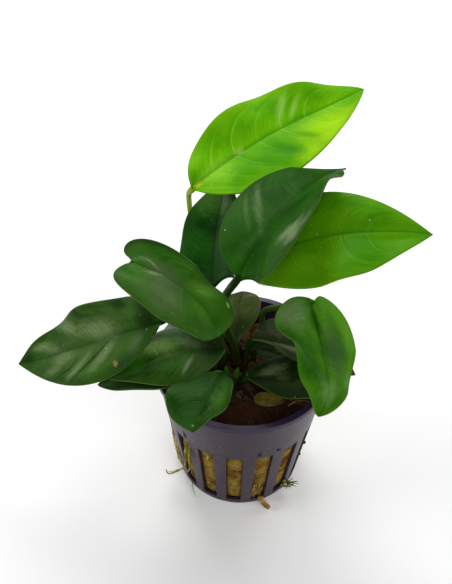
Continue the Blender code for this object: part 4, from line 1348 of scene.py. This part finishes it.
# Pointed new shoots beside the rhizome
BUD_ROWS = 24
BUDS = {                              # place, radius, height, lean in degrees
    "bud_left": ((-4.7, -7.4, 46.6), 1.0, 3.6, -10),
    "bud_right": ((-1.9, -8.0, 46.4), 1.1, 3.9, 8),
}
for name, (place, radius, height, lean_angle) in BUDS.items():
    lean_way = math.radians(lean_angle)
    axis = Vector((math.sin(lean_way), 0, math.cos(lean_way)))
    foot = Vector(place) + Vector((0, 0, height / 2)) - axis * (height / 2 + 0.6)
    route = []
    for step in range(BUD_ROWS + 1):
        share = step / BUD_ROWS
        route.append(foot + axis * ((height + 0.6) * share) + Vector((0.25 * share ** 2, 0, 0)))

    def shoot_radius(share, turn, full=radius):
        wrapped = 1 + 0.12 * math.cos(turn - 9 * share)
        return full * (1 - share) ** 0.55 * min(1, 0.6 + 2 * share) * wrapped + 0.02

    add_piece(name + "_shoot", tube_shape(route, shoot_radius, 18), [stalk_green], "stalk", [name])


# ---- Roots ----
# Pale wiry roots find their way out through the slots and round the pot, and brown ones tie the
# rhizome to the wool. A sprig of moss has settled on one rib, and crumbs lie in the slots.

ROOT_SIDES = 9
TUFT_COUNT = 16
TUFT_AZIMUTH = -72
HANK_COUNT = 24
HANK_AZIMUTH = 17
MOSS_LEAVES = 26
ANCHOR_COUNT = 22
WOOL_MOSS_COUNT = 70


def joined(shapes):
    """Several loose shapes as one."""
    whole = shapes[0]
    for other in shapes[1:]:
        step = bpy.data.meshes.new("step")
        other.to_mesh(step)
        other.free()
        whole.from_mesh(step)
        bpy.data.meshes.remove(step)
    return whole


def root_strand(points, radius, tip=0.45, sides=ROOT_SIDES):
    """One root through the points, a little knobbly, narrowing to a rounded tip."""
    route = smooth_line(points, 8 * len(points))
    seed = points[0][0] * 3.1 + points[0][2]

    def radius_at(share, turn):
        knobs = noise.noise(Vector((share * len(points) * 1.8, math.cos(turn), seed)))
        ends = min(1.0, (share / 0.02) ** 0.5, ((1 - share) / 0.04) ** 0.5)
        return radius * (1 - (1 - tip) * share) * (1 + 0.22 * knobs) * ends + 0.01

    return tube_shape(route, radius_at, sides)


def root_finish(name, light, dark):
    """Skin of a root: paler and stained in turn along its length."""
    made, tree, shader = new_material(name)
    place = object_position(tree)
    stained = use_group(tree, patches, Place=place, Scale=0.6, Low=0.4, High=0.62)[0]
    fine = use_group(tree, patches, Place=place, Scale=2.5, Low=0.4, High=0.65)[0]
    base = blend(tree, stained, light, dark)
    base = glaze(tree, base, fine, 0.35, tuple(0.55 * c for c in light))
    feed(tree, base, shader.inputs["Base Color"])
    set_gloss(shader, 0.6, 0.2)
    feed(tree, bump(tree, fine, 0.5, 0.1), shader.inputs["Normal"])
    return made


pale_root = root_finish("pale_root", shade(196, 176, 96), shade(150, 122, 50))
golden_root = root_finish("golden_root", shade(172, 138, 62), shade(122, 88, 30))
green_root = root_finish("green_root", shade(162, 158, 40), shade(104, 96, 20))
brown_root = root_finish("brown_root", shade(74, 48, 22), shade(38, 22, 8))
moss_green = root_finish("moss", shade(92, 112, 26), shade(50, 66, 10))

hook = [
    root_strand([(-15.3, -14.9, 25.8), (-15.6, -16.0, 22.0), (-15.5, -15.6, 17.5),
                 (-16.2, -14.4, 12.4), (-17.8, -12.9, 8.6), (-19.8, -12.0, 5.8),
                 (-21.2, -11.4, 4.6), (-21.9, -11.0, 6.2)], 0.42, 0.4),
    root_strand([(-14.0, -15.8, 26.4), (-14.6, -16.6, 21.0), (-14.4, -16.4, 15.0),
                 (-15.4, -14.9, 10.4)], 0.34),
    root_strand([(-16.8, -13.4, 10.0), (-18.2, -12.6, 8.4), (-19.6, -12.6, 7.4),
                 (-21.0, -12.6, 7.4)], 0.16),
    root_strand([(-13.9, -13.4, 3.4), (-13.6, -14.6, 2.0), (-13.1, -15.8, 1.2),
                 (-12.8, -16.6, 0.3)], 0.12),
]
add_piece("hooked_roots", joined(hook), [green_root], "root", ["root_left_slot"])

tuft_chance = random.Random(11)
tuft = []
for number in range(TUFT_COUNT):
    azimuth = math.radians(TUFT_AZIMUTH + tuft_chance.uniform(-9, 9))
    top_height = tuft_chance.uniform(9, 20)
    low_height = tuft_chance.uniform(1.5, 6)
    points = []
    for step in range(5):
        height = top_height + (low_height - top_height) * step / 4
        bulge = 0.9 * math.sin(math.pi * step / 4) * (1.4 - height / 18)
        out = wall_radius(height) - 0.5 + bulge + tuft_chance.uniform(-0.2, 0.3)
        points.append(tuple(around(out, azimuth + tuft_chance.uniform(-0.04, 0.04), height)))
    tuft.append(root_strand(points, tuft_chance.uniform(0.16, 0.45), 0.5))
add_piece("root_tuft", joined(tuft), [pale_root], "root", ["root_left_tuft"])

front_hank = [
    root_strand([(6.4, -19.3, 5.6), (7.2, -19.7, 3.6), (8.2, -19.9, 2.0), (9.4, -20.3, 1.1)],
                0.74, 0.9, 14),
]
for number in range(HANK_COUNT):
    azimuth = math.radians(HANK_AZIMUTH + tuft_chance.uniform(-6, 4))
    top_height = tuft_chance.uniform(7, 12)
    lean = tuft_chance.uniform(-0.10, 0.06)
    points = []
    for step in range(4):
        height = top_height - tuft_chance.uniform(0.8, 1.0) * step * top_height / 4
        out = wall_radius(height) - 0.35 + tuft_chance.uniform(-0.3, 0.35)
        points.append(tuple(around(out, azimuth + lean * step / 3, height)))
    front_hank.append(root_strand(points, tuft_chance.uniform(0.07, 0.2), 0.5, 7))
add_piece("front_roots", joined(front_hank), [golden_root], "root", ["root_front"])

right_bits = [
    root_strand([(12.6, -14.2, 4.4), (14.0, -14.6, 4.2), (15.4, -14.4, 4.0), (16.6, -13.6, 4.4)],
                0.34, 0.5),
    root_strand([(13.2, -13.8, 6.2), (14.6, -13.8, 5.2), (15.8, -13.8, 5.0)], 0.22),
]
add_piece("right_roots", joined(right_bits), [green_root], "root", ["root_right"])

# Dark grit and a pale grain lodged on the wall and in the slots
GRIT = [                              # azimuth in degrees, height, radius
    (27.5, 29.6, 0.42), (29.2, 29.3, 0.3), (66, 18.0, 0.6),
    (64, 12.5, 0.5), (60, 22.0, 0.4), (-34, 3.2, 0.35),
]
grit = []
for azimuth, height, size in GRIT:
    grain = bmesh.new()
    bmesh.ops.create_icosphere(grain, subdivisions=3, radius=size)
    for vert in grain.verts:
        vert.co *= 1 + 0.3 * noise.noise(vert.co * 2.4 + Vector((azimuth, 0, 0)))
        vert.co.z *= 0.6
    lodged = around(wall_radius(height) - 0.05, math.radians(azimuth), height)
    bmesh.ops.translate(grain, vec=lodged, verts=grain.verts)
    grit.append(grain)
add_piece("dark_grit", joined(grit), [brown_root], "root")
pale_grain = bmesh.new()
bmesh.ops.create_icosphere(pale_grain, subdivisions=3, radius=0.32)
pale_place = around(wall_radius(7.5) - 0.9, math.radians(-29), 7.5)
bmesh.ops.translate(pale_grain, vec=pale_place, verts=pale_grain.verts)
add_piece("pale_grain", pale_grain, [pale_root], "root")
crumb_line = [
    tuple(around(wall_radius(25) - 0.6, math.radians(-25), 25.4)),
    tuple(around(wall_radius(24) - 0.3, math.radians(-25.6), 24.2)),
    tuple(around(wall_radius(23) - 0.5, math.radians(-26.6), 22.8)),
]
add_piece("green_crumb", root_strand(crumb_line, 0.4, 0.6, 8), [green_root], "root")

moss_chance = random.Random(5)
sprig = []
moss_foot = Vector((14.0, -13.2, 4.0))
for number in range(MOSS_LEAVES):
    turn = moss_chance.uniform(0, FULL_TURN)
    rise = moss_chance.uniform(-0.3, 1.0)
    level = math.cos(rise)
    way = Vector((math.cos(turn) * level + 0.5, math.sin(turn) * level - 0.5, math.sin(rise)))
    reach = moss_chance.uniform(1.2, 2.9)
    offset = [moss_chance.uniform(low, high) for low, high in ((-1, 1), (-0.8, 0.6), (-0.6, 1))]
    foot = moss_foot + Vector(offset)
    droop = Vector((0, 0, -0.2))
    points = [tuple(foot), tuple(foot + way * reach * 0.5), tuple(foot + way * reach + droop)]
    sprig.append(root_strand(points, 0.17, 0.3, 5))
add_piece("moss_sprig", joined(sprig), [moss_green], "root")

anchor_chance = random.Random(21)
anchors = []
for number in range(ANCHOR_COUNT):
    share = anchor_chance.uniform(0.02, 0.95)
    side = anchor_chance.choice((-1, 1))
    start = rhizome_point(share) + Vector((side * 2.6, 0, -1.2))
    spread = anchor_chance.uniform(3, 13)
    end_x = start.x + side * spread
    end_y = start.y + anchor_chance.uniform(-7, 3)
    ground = wool_top(min(math.hypot(end_x, end_y), 19.5)) - 0.2
    middle_height = (start.z + ground) / 2 + anchor_chance.uniform(-0.6, 1.2)
    middle = (start.x + side * spread * 0.4, (start.y + end_y) / 2, middle_height)
    line = [tuple(start), middle, (end_x, end_y, ground), (end_x + side, end_y - 1, ground - 1.2)]
    anchors.append(root_strand(line, anchor_chance.uniform(0.22, 0.5), 0.6, 8))
add_piece("anchor_roots", joined(anchors), [brown_root], "root")
inside_line = [(12.5, -11.8, 39.0), (15.0, -10.8, 40.0), (18.0, -10.2, 39.4), (20.6, -10.0, 37.6)]
add_piece("inside_root", root_strand(inside_line, 0.12), [pale_root], "root")
moss_bits = []
for number in range(WOOL_MOSS_COUNT):
    azimuth = moss_chance.gauss(0.1, 0.45)
    radius = moss_chance.uniform(15.5, 20.5)
    foot = around(radius, azimuth, wool_top(radius))
    points = []
    for step in range(4):
        astray = [moss_chance.uniform(-0.5, 0.5) for _ in range(2)]
        points.append(foot + Vector((*astray, 0.45 * step)))
    moss_bits.append(points)
strand_curve("wool_moss", moss_bits, 0.08, moss_green)
